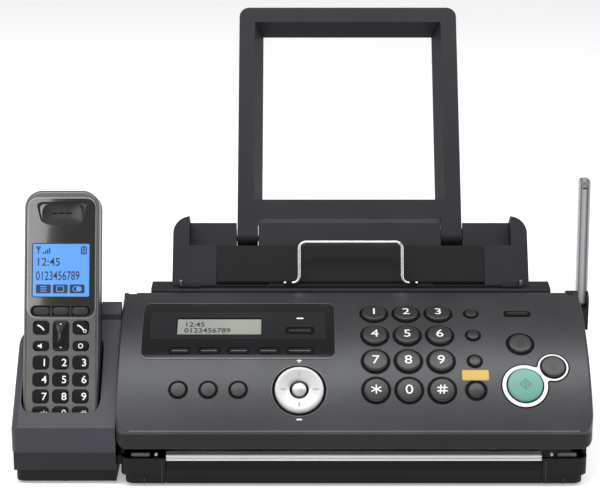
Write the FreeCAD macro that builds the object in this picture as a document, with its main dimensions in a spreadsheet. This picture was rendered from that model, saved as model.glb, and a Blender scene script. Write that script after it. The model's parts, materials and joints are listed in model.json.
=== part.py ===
import FreeCAD, Part
import os
import re
import Sketcher

# Plain-paper fax machine with a curved control panel, a cordless handset in a side
# cradle, a leaning paper tray and a folding antenna. Millimetres and degrees.
# Frame: +Z up, the front faces -Y, +X is to the right of someone facing the front.
# Most pieces are drawn in the unit frame: x from the middle of the main body,
# y from the front edge of the panel, z from the desk.

SIZES = {
    # main body and its curved panel
    "body_width": 300.0,
    "body_depth": 172.0,
    "panel_radius": 125.0,
    "front_tilt": 58.0,
    "rear_tilt": 5.0,
    "front_edge_height": 39.0,
    "apron_drop": 13.5,
    "cover_wall": 2.5,
    "cover_corner": 8.0,
    "cover_edge": 1.6,
    "nose_radius": 7.0,
    # fits
    "gap": 0.3,
    "running_clearance": 0.05,
    "key_clearance": 0.35,
    # tub of the main body
    "chassis_wall": 2.5,
    "base_inset": 2.8,
    "base_setback": 3.0,
    "plinth_inset": 2.5,
    "plinth_height": 6.0,
    "foot_height": 2.0,
    "foot_radius": 6.0,
    "foot_recess": 1.0,
    "tub_height": 60.0,
    "tub_corner": 6.0,
    "exit_gap": 6.0,
    "lid_overlap": 5.0,
    "ear_thickness": 5.0,
    "ear_radius": 6.2,
    "hinge_pin": 4.0,
    "jack_width": 12.0,
    "jack_height": 8.0,
    "jack_depth": 13.0,
    "jack_wall": 3.0,
    "jack_level": 14.0,
    "line_jack_x": 70.0,
    "power_inlet_x": -70.0,
    # paper exit
    "exit_width": 237.0,
    "exit_wall": 4.0,
    "exit_crease": 9.5,
    "exit_slope": 2.0,
    "ledge_depth": 6.0,
    "ledge_height": 6.0,
    "ledge_rise": 0.3,
    "ledge_ridge": 1.2,
    "ridge_inset": 1.6,
    # keys
    "key_lip": 1.2,
    "key_flange": 1.5,
    "key_chamfer": 0.7,
    "dial_key": 16.0,
    "dial_rise": 2.0,
    "dial_pitch": 20.8,
    "dial_row_pitch": 20.8,
    "dial_x": 34.8,
    "dial_first_row": 27.0,
    "side_key_x": 77.0,
    "small_key": 7.5,
    "speaker_key": 10.6,
    "low_rise": 1.3,
    "stop_key": 14.6,
    "stop_x": 106.8,
    "stop_row": 61.5,
    "copy_key": 15.2,
    "copy_x": 126.4,
    "copy_row": 43.2,
    "start_key": 22.2,
    "start_x": 108.0,
    "start_row": 30.3,
    "start_rise": 2.4,
    "caller_width": 15.6,
    "caller_x": 107.0,
    "bar_depth": 4.6,
    "bar_corner": 1.8,
    "bar_width": 13.0,
    "wide_bar_width": 16.6,
    "bar_row": 55.6,
    "bar_first_x": -110.8,
    "bar_pitch": 18.9,
    "wide_bar_x": -34.0,
    "answer_row": 72.6,
    "menu_key": 9.6,
    "menu_row": 27.4,
    "ring_outer": 31.0,
    "ring_inner": 12.0,
    "ring_recess_gap": 0.4,
    "ring_x": -34.5,
    "ring_rise": 1.6,
    "ring_swing": 1.2,
    "set_key": 9.2,
    # display
    "window_width": 123.6,
    "window_length": 51.0,
    "window_x": -73.5,
    "window_row": 75.2,
    "window_corner": 5.0,
    "window_proud": 0.5,
    "window_depth": 1.2,
    "lcd_width": 54.0,
    "lcd_length": 14.4,
    "lcd_x": -86.0,
    "lcd_row": 76.6,
    "lcd_recess": 0.3,
    "lcd_frame": 4.0,
    "lcd_back": 3.0,
    # key board under the panel
    "board_depth": 17.0,
    "board_width": 268.0,
    "board_length": 92.0,
    "board_thickness": 1.6,
    "boss_radius": 3.0,
    "boss_inset": 4.0,
    # document entrance and rear paper housing
    "document_slot": 5.2,
    "deck_depth": 16.0,
    "deck_height": 96.0,
    "deck_width": 267.0,
    "deck_top": 3.5,
    "deck_plate_width": 110.0,
    "deck_plate_rise": 1.2,
    "shoulder_height": 86.0,
    "shoulder_rear_height": 67.0,
    "paper_lean": 36.0,
    "slope_from_front": 10.0,
    "slope_wall": 5.0,
    "slope_length": 27.7,
    "paper_slot": 9.5,
    "back_wall": 3.0,
    "rear_length": 48.5,
    "rear_width": 240.0,
    "rear_corner": 12.0,
    "paper_width": 218.0,
    "rib_thickness": 3.0,
    "rib_inner_x": 48.0,
    "rib_outer_x": 104.0,
    # tension plate
    "tension_width": 180.0,
    "tension_wall": 3.0,
    "tension_pin": 2.8,
    "tension_pin_length": 4.0,
    # paper tray
    "tray_width": 154.0,
    "tray_length": 171.0,
    "tray_thickness": 14.5,
    "tray_leg": 14.0,
    "tray_bar": 11.0,
    "tray_draft": 6.0,
    "tray_corner": 7.0,
    "tray_cross_low": 12.0,
    "tray_cross": 14.0,
    "tray_axis_up": 39.5,
    "knuckle_radius": 6.5,
    "knuckle_gap": 0.5,
    "tray_pin": 4.0,
    "tray_ear": 4.0,
    # document wire
    "wire_diameter": 2.2,
    "wire_width": 69.0,
    "wire_height": 27.5,
    "wire_lean": 22.0,
    "wire_bend": 4.5,
    "wire_foot": 1.5,
    "wire_from_front": 4.5,
    "wire_ear": 4.0,
    "wire_axis_up": 2.8,
    # document guides
    "guide_spread": 225.0,
    "guide_travel": 44.0,
    "guide_fence": 2.0,
    "guide_height": 6.0,
    "guide_depth": 6.4,
    "guide_shoe": 12.0,
    "guide_shoe_rise": 1.4,
    "guide_tongue": 3.0,
    "guide_keeper": 1.6,
    "guide_ledge": 0.5,
    # antenna
    "antenna_reach": 9.5,
    "antenna_width": 7.6,
    "antenna_thickness": 5.6,
    "antenna_length": 84.0,
    "antenna_lean": 6.0,
    "antenna_pin": 3.0,
    "antenna_knuckle": 5.0,
    "antenna_axis_height": 85.0,
    "antenna_from_front": 7.0,
    "pod_length": 14.0,
    "pod_round": 6.3,
    "pod_drop": 18.0,
    # printing and reading works
    "bearing_x": 120.0,
    "bearing_wall": 4.0,
    "gearbox_width": 22.0,
    "roller_half": 108.0,
    "shaft_radius": 3.0,
    "platen_radius": 9.0,
    "platen_y": 25.0,
    "nip_height": 23.4,
    "takeup_radius": 11.0,
    "takeup_y": 48.0,
    "takeup_z": 30.0,
    "supply_radius": 15.0,
    "supply_y": 76.0,
    "supply_z": 36.0,
    "hub_radius": 5.0,
    "feed_radius": 8.0,
    "feed_y": 88.0,
    "feed_z": 66.0,
    "feed_length": 30.0,
    "feed_pitch": 64.0,
    "head_depth": 20.0,
    "head_height": 7.0,
    "head_gap": 0.3,
    "head_leg": 4.0,
    "sensor_on_board": 10.0,
    "sensor_depth": 16.0,
    "sensor_height": 10.0,
    "sensor_edge": 2.0,
    "sensor_glass": 9.0,
    "bearing_front_height": 36.0,
    "bearing_rear": 96.0,
    "bearing_rear_height": 76.0,
    "motor_radius": 17.0,
    "motor_length": 20.0,
    "motor_y": 112.0,
    "motor_z": 34.0,
    "main_board_width": 220.0,
    "main_board_length": 112.0,
    "main_board_from_back": 14.0,
    "standoff_height": 4.0,
    "standoff_radius": 3.5,
    "standoff_inset": 8.0,
    "capacitor_radius": 5.0,
    "capacitor_height": 12.0,
    "capacitor_pitch": 17.5,
    "capacitor_inset": 14.0,
    "chip_size": 28.0,
    "chip_inset": 7.0,
    # handset cradle
    "cradle_width": 66.0,
    "cradle_front": 6.0,
    "cradle_depth": 56.0,
    "cradle_front_height": 39.0,
    "cradle_top_height": 82.0,
    "cradle_step_height": 22.0,
    "cradle_step": 1.0,
    "cradle_base_height": 10.0,
    "cradle_corner": 5.0,
    "cradle_gap": 0.4,
    "shoulder_width": 13.0,
    "shoulder_depth": 70.0,
    "shoulder_top": 97.0,
    "tongue_height": 6.0,
    # handset
    "handset_x": -185.6,
    "handset_front_y": 11.4,
    "handset_front_z": 30.1,
    "handset_lean": 22.0,
    "handset_width": 47.6,
    "handset_length": 157.0,
    "handset_thickness": 25.0,
    "handset_split": 11.0,
    "handset_corner": 11.0,
    "handset_front_edge": 2.2,
    "handset_back_edge": 5.0,
    "handset_wall": 2.4,
    "pocket_gap": 1.4,
    "pocket_front_gap": 2.6,
    "glass_width": 43.0,
    "glass_low": 76.0,
    "glass_high": 152.0,
    "glass_depth": 1.0,
    "glass_corner": 6.0,
    "earpiece_height": 14.0,
    "earpiece_from_top": 3.0,
    "pad_low": 9.5,
    "pad_high": 75.0,
    "pad_half": 19.0,
    "pad_sheet": 1.2,
    "pad_proud": 0.7,
    "pad_key_width": 10.0,
    "pad_key_height": 8.4,
    "pad_key_corner": 2.4,
    "pad_pitch": 12.6,
    "pad_row_pitch": 10.7,
    "pad_first_row": 15.4,
    "pad_call_row": 69.6,
    "pad_lower_row": 58.0,
    "pad_lower_height": 6.0,
}

# Places that follow from the driving dimensions.
DERIVED = {
    "unit_x": "(cradle_width - antenna_reach) / 2",
    "tray_top_y": "tray_axis_y + tray_length * sin(paper_lean)",
    "origin_from_front": "(tray_top_y + (tray_thickness - knuckle_radius) * cos(paper_lean)) / 2",
    "half": "body_width / 2",
    "chassis_half": "half - base_inset",
    "apron_bottom": "front_edge_height - apron_drop",
    "exit_top": "apron_bottom - exit_gap",
    "arc_y": "panel_radius * sin(front_tilt)",
    "arc_z": "front_edge_height - panel_radius * cos(front_tilt)",
    "hinge_y": "arc_y - (panel_radius - nose_radius) * sin(rear_tilt)",
    "hinge_z": "arc_z + (panel_radius - nose_radius) * cos(rear_tilt)",
    "above": "hinge_z + 2 * nose_radius",
    "flank_rise": "(hinge_z - nose_radius - apron_bottom) / hinge_y",
    "side_front": "base_setback + chassis_wall + lid_overlap",
    "side_low": "apron_bottom + flank_rise * side_front + lid_overlap",
    "nose_half": "chassis_half - ear_thickness - gap",
    "floor_top": "foot_height + chassis_wall",
    "plinth_top": "foot_height + plinth_height",
    "exit_half": "exit_width / 2",
    "exit_back": "base_setback + exit_wall",
    "bearing_front": "exit_back + ledge_depth + gap",
    "deck_front": "hinge_y + nose_radius + document_slot",
    "deck_half": "deck_width / 2",
    "slope_y": "deck_front + slope_from_front",
    "shoulder_fall": "(shoulder_height - shoulder_rear_height) / (body_depth - deck_front)",
    "rear_half": "rear_width / 2",
    "paper_half": "paper_width / 2",
    "slot_back": "slope_wall + paper_slot",
    "rear_back": "slot_back + back_wall",
    "tray_axis_in": "slot_back + knuckle_radius",
    "tray_axis_y": "slope_y + tray_axis_in * cos(paper_lean) + tray_axis_up * sin(paper_lean)",
    "tray_axis_z": "deck_height - tray_axis_in * sin(paper_lean) + tray_axis_up * cos(paper_lean)",
    "tray_half": "tray_width / 2",
    "leg_inner": "tray_half - tray_leg",
    "tension_half": "tension_width / 2",
    "tension_in": "slope_wall / 2",
    "tension_y": "slope_y + tension_in * (cos(paper_lean) + sin(paper_lean))",
    "tension_z": "deck_height + tension_in * (cos(paper_lean) - sin(paper_lean))",
    "wire_y": "deck_front + wire_from_front",
    "wire_z": "deck_height + wire_axis_up",
    "wire_half": "wire_width / 2",
    "wire_radius": "wire_diameter / 2",
    "wire_end": "wire_half + wire_bend + gap + wire_ear",
    "guide_y": "deck_front + chassis_wall + gap + guide_tongue / 2 + guide_ledge",
    "guide_half": "guide_spread / 2",
    "antenna_x": "half + antenna_reach / 2 + gap",
    "antenna_y": "deck_front + antenna_from_front",
    "gearbox_left": "bearing_x - bearing_wall",
    "platen_z": "nip_height + platen_radius",
    "head_top": "nip_height - head_gap",
    "head_half": "gearbox_left - 2 * gap",
    "main_board_front": "body_depth - main_board_from_back - main_board_length",
    "board_tilt": "(front_tilt + rear_tilt) / 2",
    "board_y": "arc_y - (panel_radius - board_depth) * sin(board_tilt)",
    "board_z": "arc_z + (panel_radius - board_depth) * cos(board_tilt)",
    "cradle_left": "-half - cradle_width",
    "cradle_right": "-half - cradle_gap",
    "cradle_back": "cradle_front + cradle_depth",
    "handset_half": "handset_width / 2",
    "handset_y": "handset_front_y + handset_thickness / 2 * cos(handset_lean)",
    "handset_z": "handset_front_z - handset_thickness / 2 * sin(handset_lean)",
    "handset_face": "-handset_thickness / 2",
    "handset_seam": "handset_face + handset_split",
    "handset_inner": "handset_half - handset_wall",
    "glass_half": "glass_width / 2",
    "pad_face": "handset_face + handset_wall",
}

BOX_EDGES = {"x": (9, 10, 11, 12), "y": (2, 4, 6, 8), "z": (1, 3, 5, 7)}
ALONG = {
    "x": FreeCAD.Rotation(FreeCAD.Vector(0, 1, 0), 90),
    "y": FreeCAD.Rotation(FreeCAD.Vector(1, 0, 0), -90),
    "z": FreeCAD.Rotation(),
}
UNIT = ("unit_x", "-origin_from_front", "0")

doc = FreeCAD.newDocument("fax_machine")
sheet = doc.addObject("Spreadsheet::Sheet", "Sizes")
for row, (alias, size) in enumerate(SIZES.items(), start=1):
    sheet.set(f"A{row}", alias)
    sheet.set(f"B{row}", str(size))
    sheet.setAlias(f"B{row}", alias)
doc.recompute()
sub_parts = []


def formula(text):
    """Turn words for sizes and derived places into an expression on the sheet."""
    def swap(match):
        word = match.group(0)
        if word in SIZES:
            return "Sizes." + word
        if word in DERIVED:
            return "(" + formula(DERIVED[word]) + ")"
        return word
    return re.sub(r"[a-z_]+", swap, str(text))


def number(text):
    return float(sheet.evalExpression(formula(text)))


def place(obj, at, tilt=None):
    """Bind an object's position, and its turn about X if it has one."""
    if tilt is not None:
        obj.Placement = FreeCAD.Placement(FreeCAD.Vector(), FreeCAD.Rotation(FreeCAD.Vector(1, 0, 0), 1))
        obj.setExpression("Placement.Rotation.Angle", formula(tilt))
    for axis, text in zip("xyz", at):
        obj.setExpression("Placement.Base." + axis, formula(text))
    return obj


def block(name, x, y, z):
    """Box between low and high values on each axis."""
    obj = doc.addObject("Part::Box", name)
    for size, (low, high) in zip(("Length", "Width", "Height"), (x, y, z)):
        obj.setExpression(size, formula(f"({high}) - ({low})"))
    return place(obj, (x[0], y[0], z[0]))


def round_block(name, x, y, z, radius, axis, edges=None):
    """Box with the edges along one axis rounded."""
    raw = block(name + "_raw", x, y, z)
    obj = doc.addObject("Part::Fillet", name)
    obj.Base = raw
    obj.Edges = [(edge, number(radius), number(radius)) for edge in edges or BOX_EDGES[axis]]
    return obj


def rod(name, axis, at, radius, length):
    obj = doc.addObject("Part::Cylinder", name)
    obj.Placement = FreeCAD.Placement(FreeCAD.Vector(), ALONG[axis])
    obj.setExpression("Radius", formula(radius))
    obj.setExpression("Height", formula(length))
    return place(obj, at)


def prism(name, outline, x):
    """Straight-sided outline in the Y-Z plane, padded along X between two values."""
    body = doc.addObject("PartDesign::Body", name)
    sketch = body.newObject("Sketcher::SketchObject", name + "_outline")
    plane = [item for item in body.Origin.OriginFeatures if item.Role == "YZ_Plane"][0]
    sketch.AttachmentSupport = (plane, "")
    sketch.MapMode = "FlatFace"
    corners = [FreeCAD.Vector(number(y), number(z), 0) for y, z in outline]
    count = len(corners)
    for i in range(count):
        sketch.addGeometry(Part.LineSegment(corners[i], corners[(i + 1) % count]), False)
    for i in range(count):
        sketch.addConstraint(Sketcher.Constraint("Coincident", i, 2, (i + 1) % count, 1))
    for i, (y, z) in enumerate(outline):
        for kind, text, start in (("DistanceX", y, corners[i].x), ("DistanceY", z, corners[i].y)):
            index = sketch.addConstraint(Sketcher.Constraint(kind, -1, 1, i, 1, start))
            sketch.setExpression(f"Constraints[{index}]", formula(text))
    pad = body.newObject("PartDesign::Pad", name + "_pad")
    pad.Profile = sketch
    pad.setExpression("Length", formula(f"({x[1]}) - ({x[0]})"))
    return place(body, (x[0], "0", "0"))


def fuse(name, *pieces):
    obj = doc.addObject("Part::MultiFuse", name)
    obj.Shapes = list(pieces)
    return obj


def cut(name, base, *tools):
    obj = doc.addObject("Part::Cut", name)
    obj.Base = base
    obj.Tool = tools[0] if len(tools) == 1 else fuse(name + "_tools", *tools)
    return obj


def common(name, first, second):
    obj = doc.addObject("Part::Common", name)
    obj.Base = first
    obj.Tool = second
    return obj


def rounded(name, base, radius, pick):
    """Fillet the edges of a finished shape that pick chooses by their bounding boxes."""
    doc.recompute()
    obj = doc.addObject("Part::Fillet", name)
    obj.Base = base
    chosen = [i for i, edge in enumerate(base.Shape.Edges, start=1) if pick(edge.BoundBox)]
    obj.Edges = [(edge, number(radius), number(radius)) for edge in chosen]
    return obj


def finish(label, base, at=UNIT, tilt=None):
    """Name a finished piece and put it in its place in the assembly."""
    obj = doc.addObject("Part::Refine", label)
    obj.Source = base
    obj.Label = label
    place(obj, at, tilt)
    sub_parts.append(obj)
    return obj


def in_unit(x, y, z):
    return (f"unit_x + ({x})", f"({y}) - origin_from_front", z)


def on_panel(x, arc):
    """Point and tilt on the curved panel, arc millimetres up from its front edge."""
    tilt = f"(front_tilt - ({arc}) / panel_radius * 180 / pi)"
    y = f"(arc_y - panel_radius * sin({tilt}))"
    z = f"(arc_z + panel_radius * cos({tilt}))"
    return (x, y, z), tilt


def mirrored_pair(make):
    return [make("left", -1), make("right", 1)]


def side(sign, inner, outer):
    """Low and high X of a piece that stands on the left or right of the middle."""
    if sign < 0:
        return (f"-({outer})", f"-({inner})")
    return (inner, outer)


# Keys of the panel: label, x, place on the panel, size along x, size along y or None
# when the key is round, and height above the panel.

def panel_keys():
    keys = []
    names = ("star", "0", "hash", "7", "8", "9", "4", "5", "6", "1", "2", "3")
    for index, name in enumerate(names):
        line, column = divmod(index, 3)
        x = f"dial_x + {column - 1} * dial_pitch"
        arc = f"dial_first_row + {line} * dial_row_pitch"
        keys.append(("dial_key_" + name, x, arc, "dial_key", None, "dial_rise"))
    for line, name in enumerate(("speakerphone", "mute", "flash", "redial")):
        wide = "speaker_key" if name == "speakerphone" else "small_key"
        arc = f"dial_first_row + {line} * dial_row_pitch"
        keys.append((name + "_key", "side_key_x", arc, wide, None, "low_rise"))
    top_row = "dial_first_row + 3 * dial_row_pitch"
    keys.append(("caller_list_key", "caller_x", top_row, "caller_width", "bar_depth", "low_rise"))
    keys.append(("stop_key", "stop_x", "stop_row", "stop_key", None, "low_rise"))
    keys.append(("copy_key", "copy_x", "copy_row", "copy_key", None, "dial_rise"))
    keys.append(("start_key", "start_x", "start_row", "start_key", None, "start_rise"))
    for column, name in enumerate(("record", "check", "memo", "erase")):
        x = f"bar_first_x + {column} * bar_pitch"
        keys.append((name + "_key", x, "bar_row", "bar_width", "bar_depth", "low_rise"))
    keys.append(("playback_key", "wide_bar_x", "bar_row", "wide_bar_width", "bar_depth", "low_rise"))
    keys.append(("auto_answer_key", "wide_bar_x", "answer_row", "wide_bar_width", "bar_depth", "low_rise"))
    for column, name in enumerate(("locator", "report", "menu")):
        x = f"bar_first_x + {column} * bar_pitch"
        keys.append((name + "_key", x, "menu_row", "menu_key", None, "low_rise"))
    keys.append(("set_key", "ring_x", "menu_row", "set_key", None, "ring_rise"))
    return keys


def key_shape(name, wide, deep, low, high, grow):
    """Round key when deep is None, else a bar with rounded ends."""
    if deep is None:
        return rod(name, "z", ("0", "0", low), f"({wide}) / 2 + {grow}", f"({high}) - ({low})")
    x = f"({wide}) / 2 + {grow}"
    y = f"({deep}) / 2 + {grow}"
    return round_block(name, (f"-({x})", x), (f"-({y})", y), (low, high), "bar_corner", "z")


def lip_drop(wide, deep):
    """Depth below the panel at which a flat lip clears the curved inner face."""
    reach = f"({deep or wide}) / 2 + key_lip"
    return f"(cover_wall + ({reach})^2 / (2 * (panel_radius - cover_wall)) + key_clearance)"


def ring_drop():
    """Depth of the ring's lip, with room for its rocking."""
    return f"({lip_drop('ring_outer', None)} + ring_swing)"


def make_key(label, x, arc, wide, deep, rise):
    """Key with a lip that keeps it under the panel; the set key is a plain plunger in the ring's bore."""
    if label == "set_key":
        whole = key_shape(label + "_cap", wide, deep, f"-{ring_drop()} - key_flange", rise, "0")
    else:
        top = lip_drop(wide, deep)
        cap = key_shape(label + "_cap", wide, deep, f"-{top}", rise, "0")
        lip = key_shape(label + "_lip", wide, deep, f"-{top} - key_flange", f"-{top}", "key_lip")
        whole = fuse(label + "_whole", cap, lip)
    doc.recompute()
    edges = [i for i, edge in enumerate(whole.Shape.Edges, start=1)
             if edge.BoundBox.ZMin > number(rise) - 0.01]
    bevel = doc.addObject("Part::Chamfer", label + "_bevel")
    bevel.Base = whole
    bevel.Edges = [(edge, number("key_chamfer"), number("key_chamfer")) for edge in edges]
    point, tilt = on_panel(x, arc)
    finish(label, bevel, in_unit(*point), tilt)


def key_hole(label, x, arc, wide, deep):
    deep_cut = "-4 * cover_wall"
    tool = key_shape(label + "_hole", wide, deep, deep_cut, "4 * cover_wall", "key_clearance")
    holder = doc.addObject("Part::Refine", label + "_hole_placed")
    holder.Source = tool
    point, tilt = on_panel(x, arc)
    return place(holder, point, tilt)


def ring_key():
    top = ring_drop()
    outer = rod("ring_cap", "z", ("0", "0", f"-{top}"), "ring_outer / 2", f"{top} + ring_rise")
    lip = rod("ring_lip", "z", ("0", "0", f"-{top} - key_flange"), "ring_outer / 2 + key_lip", "key_flange")
    bore = rod("ring_bore", "z", ("0", "0", f"-{top} - 2 * key_flange"), "ring_inner / 2", "6 * cover_wall")
    dish = doc.addObject("Part::Cone", "ring_dish")
    dish.setExpression("Radius1", formula("ring_inner / 2"))
    dish.setExpression("Radius2", formula("ring_outer / 2 - key_chamfer"))
    dish.setExpression("Height", formula("key_chamfer"))
    place(dish, ("0", "0", "ring_rise - key_chamfer"))
    ring = cut("ring_shape", fuse("ring_whole", outer, lip), bore, dish)
    point, tilt = on_panel("ring_x", "menu_row")
    finish("navigation_ring", ring, in_unit(*point), tilt)


# Front cover with the curved control panel.

def window_prism(name, grow, low, high):
    x = f"window_width / 2 + {grow}"
    y = f"window_length / 2 + {grow}"
    solid = round_block(name + "_solid", (f"-({x})", x), (f"-({y})", y), (low, high),
                        f"window_corner + {grow}", "z")
    holder = doc.addObject("Part::Refine", name)
    holder.Source = solid
    point, tilt = on_panel("window_x", "window_row")
    return place(holder, point, tilt)


def panel_drum(name, radius):
    return rod(name, "x", ("-half", "arc_y", "arc_z"), radius, "body_width")


def lcd_tool(name, grow, low, high):
    x = f"lcd_width / 2 + {grow}"
    y = f"lcd_length / 2 + {grow}"
    raw = block(name + "_raw", (f"-({x})", x), (f"-({y})", y), (low, high))
    holder = doc.addObject("Part::Refine", name)
    holder.Source = raw
    point, tilt = on_panel("lcd_x", "lcd_row")
    return place(holder, point, tilt)


def window_keys():
    shown = ("record_key", "check_key", "memo_key", "erase_key", "playback_key", "auto_answer_key")
    return [key for key in panel_keys() if key[0] in shown]


def front_cover():
    drum = panel_drum("cover_drum", "panel_radius")
    outline = [("0", "apron_bottom"), ("0", "above"), ("hinge_y", "above"), ("hinge_y", "hinge_z - nose_radius")]
    slab = common("cover_slab", drum, prism("cover_profile", outline, ("-half", "half")))
    front = rounded("cover_corners", slab, "cover_corner",
                    lambda box: box.YMax < 0.01 and box.XLength < 0.01)
    crest = number("apron_bottom") + 0.01
    soft = rounded("cover_soft", front, "cover_edge",
                   lambda box: box.ZMin > crest and not (box.XLength < 0.01 and box.YLength < 0.01)
                   and box.YMin < number("hinge_y") - 1 and box.ZMax > number("front_edge_height") - 0.1)
    nose = rod("cover_nose", "x", ("-half", "hinge_y", "hinge_z"), "nose_radius", "body_width")
    inner_outline = [("cover_wall", "0"), ("cover_wall", "above"),
                     ("hinge_y - nose_radius + cover_wall", "above"),
                     ("hinge_y - nose_radius + cover_wall", "0")]
    inner_x = ("cover_wall - half", "half - cover_wall")
    cavity = common("cover_cavity", panel_drum("cover_inner_drum", "panel_radius - cover_wall"),
                    prism("cover_inner", inner_outline, inner_x))
    bosses = common("cover_bosses", slab, board_bosses())
    tools = [cavity] + mirrored_pair(lambda tag, sign: ear_room(tag, sign))
    shell = fuse("cover_shell", cut("cover_hollow", fuse("cover_body", soft, nose), *tools), bosses,
                 *mirrored_pair(lambda tag, sign: hinge_pin(tag, sign)))
    holes = [key_hole(key[0], key[1], key[2], key[3], key[4]) for key in panel_keys() if key[0] != "set_key"]
    holes.append(key_hole("ring", "ring_x", "menu_row", "ring_outer + 2 * ring_recess_gap", None))
    recess = cut("window_recess", window_prism("window_recess_prism", "gap", "-4 * cover_wall", "4 * cover_wall"),
                 panel_drum("window_floor", "panel_radius - window_depth - gap / 3"))
    holes.append(recess)
    holes.append(lcd_tool("lcd_hole", "gap", "-4 * cover_wall", "4 * cover_wall"))
    finish("front_cover", cut("cover_pierced", shell, *holes))


def ear_room(tag, sign):
    """Space for a hinge ear and its neck inside the end of the nose."""
    low, high = side(sign, "nose_half", "half - cover_wall")
    head = rod("ear_room_head_" + tag, "x", (low, "hinge_y", "hinge_z"), "nose_radius + gap", f"({high}) - ({low})")
    neck = block("ear_room_neck_" + tag, (low, high), ("hinge_y - nose_radius - gap", "hinge_y + nose_radius + gap"),
                 ("hinge_z - 3 * nose_radius", "hinge_z"))
    return fuse("ear_room_" + tag, head, neck)


def hinge_pin(tag, sign):
    low, high = side(sign, "nose_half - ear_thickness", "chassis_half - gap")
    return rod("hinge_pin_" + tag, "x", (low, "hinge_y", "hinge_z"), "hinge_pin / 2", f"({high}) - ({low})")


def board_bosses():
    """Posts under the panel, square to the key board that they carry."""
    posts = []
    for tag, x_sign in (("left", -1), ("right", 1)):
        for end, y_sign in (("front", -1), ("rear", 1)):
            x = f"{x_sign} * (board_width / 2 - boss_inset)"
            y = f"{y_sign} * (board_length / 2 - boss_inset)"
            posts.append(rod(f"boss_{tag}_{end}", "z", (x, y, "0"), "boss_radius", "board_depth"))
    holder = doc.addObject("Part::Refine", "boss_group")
    holder.Source = fuse("boss_posts", *posts)
    return place(holder, ("0", "board_y", "board_z"), "board_tilt")


def display_pieces():
    ring = cut("window_layer", panel_drum("window_outer", "panel_radius + window_proud"),
               panel_drum("window_inner", "panel_radius - window_depth"))
    plate = common("window_plate", ring, window_prism("window_prism", "0", "-4 * cover_wall", "4 * cover_wall"))
    holes = [key_hole("glass_" + key[0], key[1], key[2], key[3], key[4]) for key in window_keys()]
    holes.append(lcd_tool("lcd_view", "gap", "-4 * cover_wall", "4 * cover_wall"))
    finish("display_window", cut("window_pierced", plate, *holes))
    face = block("lcd_face", ("-lcd_width / 2", "lcd_width / 2"), ("-lcd_length / 2", "lcd_length / 2"),
                 ("-cover_wall - gap - lcd_back", "-lcd_recess"))
    x = "lcd_width / 2 + lcd_frame"
    y = "lcd_length / 2 + lcd_frame"
    drop = f"cover_wall + gap + ({y})^2 / (2 * panel_radius)"
    frame = block("lcd_frame_plate", (f"-({x})", x), (f"-({y})", y), (f"-({drop}) - lcd_back", f"-({drop})"))
    point, tilt = on_panel("lcd_x", "lcd_row")
    finish("display_lcd", fuse("lcd_whole", face, frame), in_unit(*point), tilt)


def panel_board():
    x = "board_width / 2"
    y = "board_length / 2"
    plate = round_block("board_plate", (f"-{x}", x), (f"-{y}", y), ("-board_thickness", "0"), "boss_radius", "z")
    finish("panel_board", plate, in_unit("0", "board_y", "board_z"), "board_tilt")


# Tub of the main body.

def bottom_chassis():
    plinth_x = "chassis_half - plinth_inset"
    plinth = round_block("plinth", (f"-({plinth_x})", plinth_x),
                         ("base_setback + plinth_inset / 2", "body_depth - plinth_inset"),
                         ("foot_height", "plinth_top"), "tub_corner", "z")
    tub = round_block("tub", ("-chassis_half", "chassis_half"), ("base_setback", "body_depth"),
                      ("plinth_top", "tub_height"), "tub_corner", "z")
    inner_x = "chassis_half - chassis_wall"
    hollow = block("tub_hollow", (f"-({inner_x})", inner_x),
                   ("base_setback + chassis_wall", "body_depth - chassis_wall"),
                   ("plinth_top + chassis_wall", "above"))
    floor_x = "chassis_half - plinth_inset - chassis_wall"
    well = block("tub_well", (f"-({floor_x})", floor_x),
                 ("exit_back + chassis_wall", "body_depth - plinth_inset - chassis_wall"),
                 ("floor_top", "tub_height"))
    open_front = prism("tub_open_front", [
        ("-nose_radius", "exit_top"), ("side_front", "exit_top"), ("side_front", "side_low"),
        ("hinge_y - ear_radius", "hinge_z"), ("hinge_y - ear_radius", "above"),
        ("-nose_radius", "above")], ("-body_width", "body_width"))
    sides = mirrored_pair(side_wall)
    shell = cut("tub_shell", fuse("tub_block", plinth, tub), hollow, well)
    front_room = block("exit_cover_room", ("-exit_half - gap", "exit_half + gap"), ("0", "exit_back"),
                       ("0", "tub_height"))
    bodied = fuse("tub_bodied", shell, *sides, bearing_side(), *standoffs(), *jack_boxes())
    bores = mirrored_pair(lambda tag, sign: ear_bore(tag, sign))
    finish("bottom_chassis", cut("tub_finished", bodied, open_front, front_room, *bores, *bearing_cuts("bracket"),
                                 *foot_recesses(), *jack_holes()))


def side_wall(tag, sign):
    """Side of the tub that rises inside the cover and ends in the hinge ear."""
    wall = prism("side_wall_" + tag, [
        ("side_front", "plinth_top"), ("side_front", "side_low"), ("hinge_y - ear_radius", "hinge_z"),
        ("hinge_y + ear_radius", "hinge_z"), ("hinge_y + ear_radius", "shoulder_height"),
        ("deck_front - gap", "shoulder_height"), ("deck_front - gap", "plinth_top")],
        side(sign, "chassis_half - chassis_wall", "chassis_half"))
    low, high = side(sign, "chassis_half - ear_thickness", "chassis_half")
    head = rod("ear_head_" + tag, "x", (low, "hinge_y", "hinge_z"), "ear_radius", f"({high}) - ({low})")
    neck = block("ear_neck_" + tag, (low, high), ("hinge_y - ear_radius", "hinge_y + ear_radius"),
                 ("tub_height", "hinge_z"))
    return fuse("ear_side_" + tag, wall, head, neck)


def ear_bore(tag, sign):
    low, high = side(sign, "chassis_half - 2 * ear_thickness", "half")
    return rod("ear_bore_" + tag, "x", (low, "hinge_y", "hinge_z"), "hinge_pin / 2 + running_clearance",
               f"({high}) - ({low})")


def bearing_outline():
    return [("bearing_front", "floor_top"), ("bearing_front", "bearing_front_height"),
            ("bearing_rear", "bearing_rear_height"), ("bearing_rear", "floor_top")]


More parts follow.
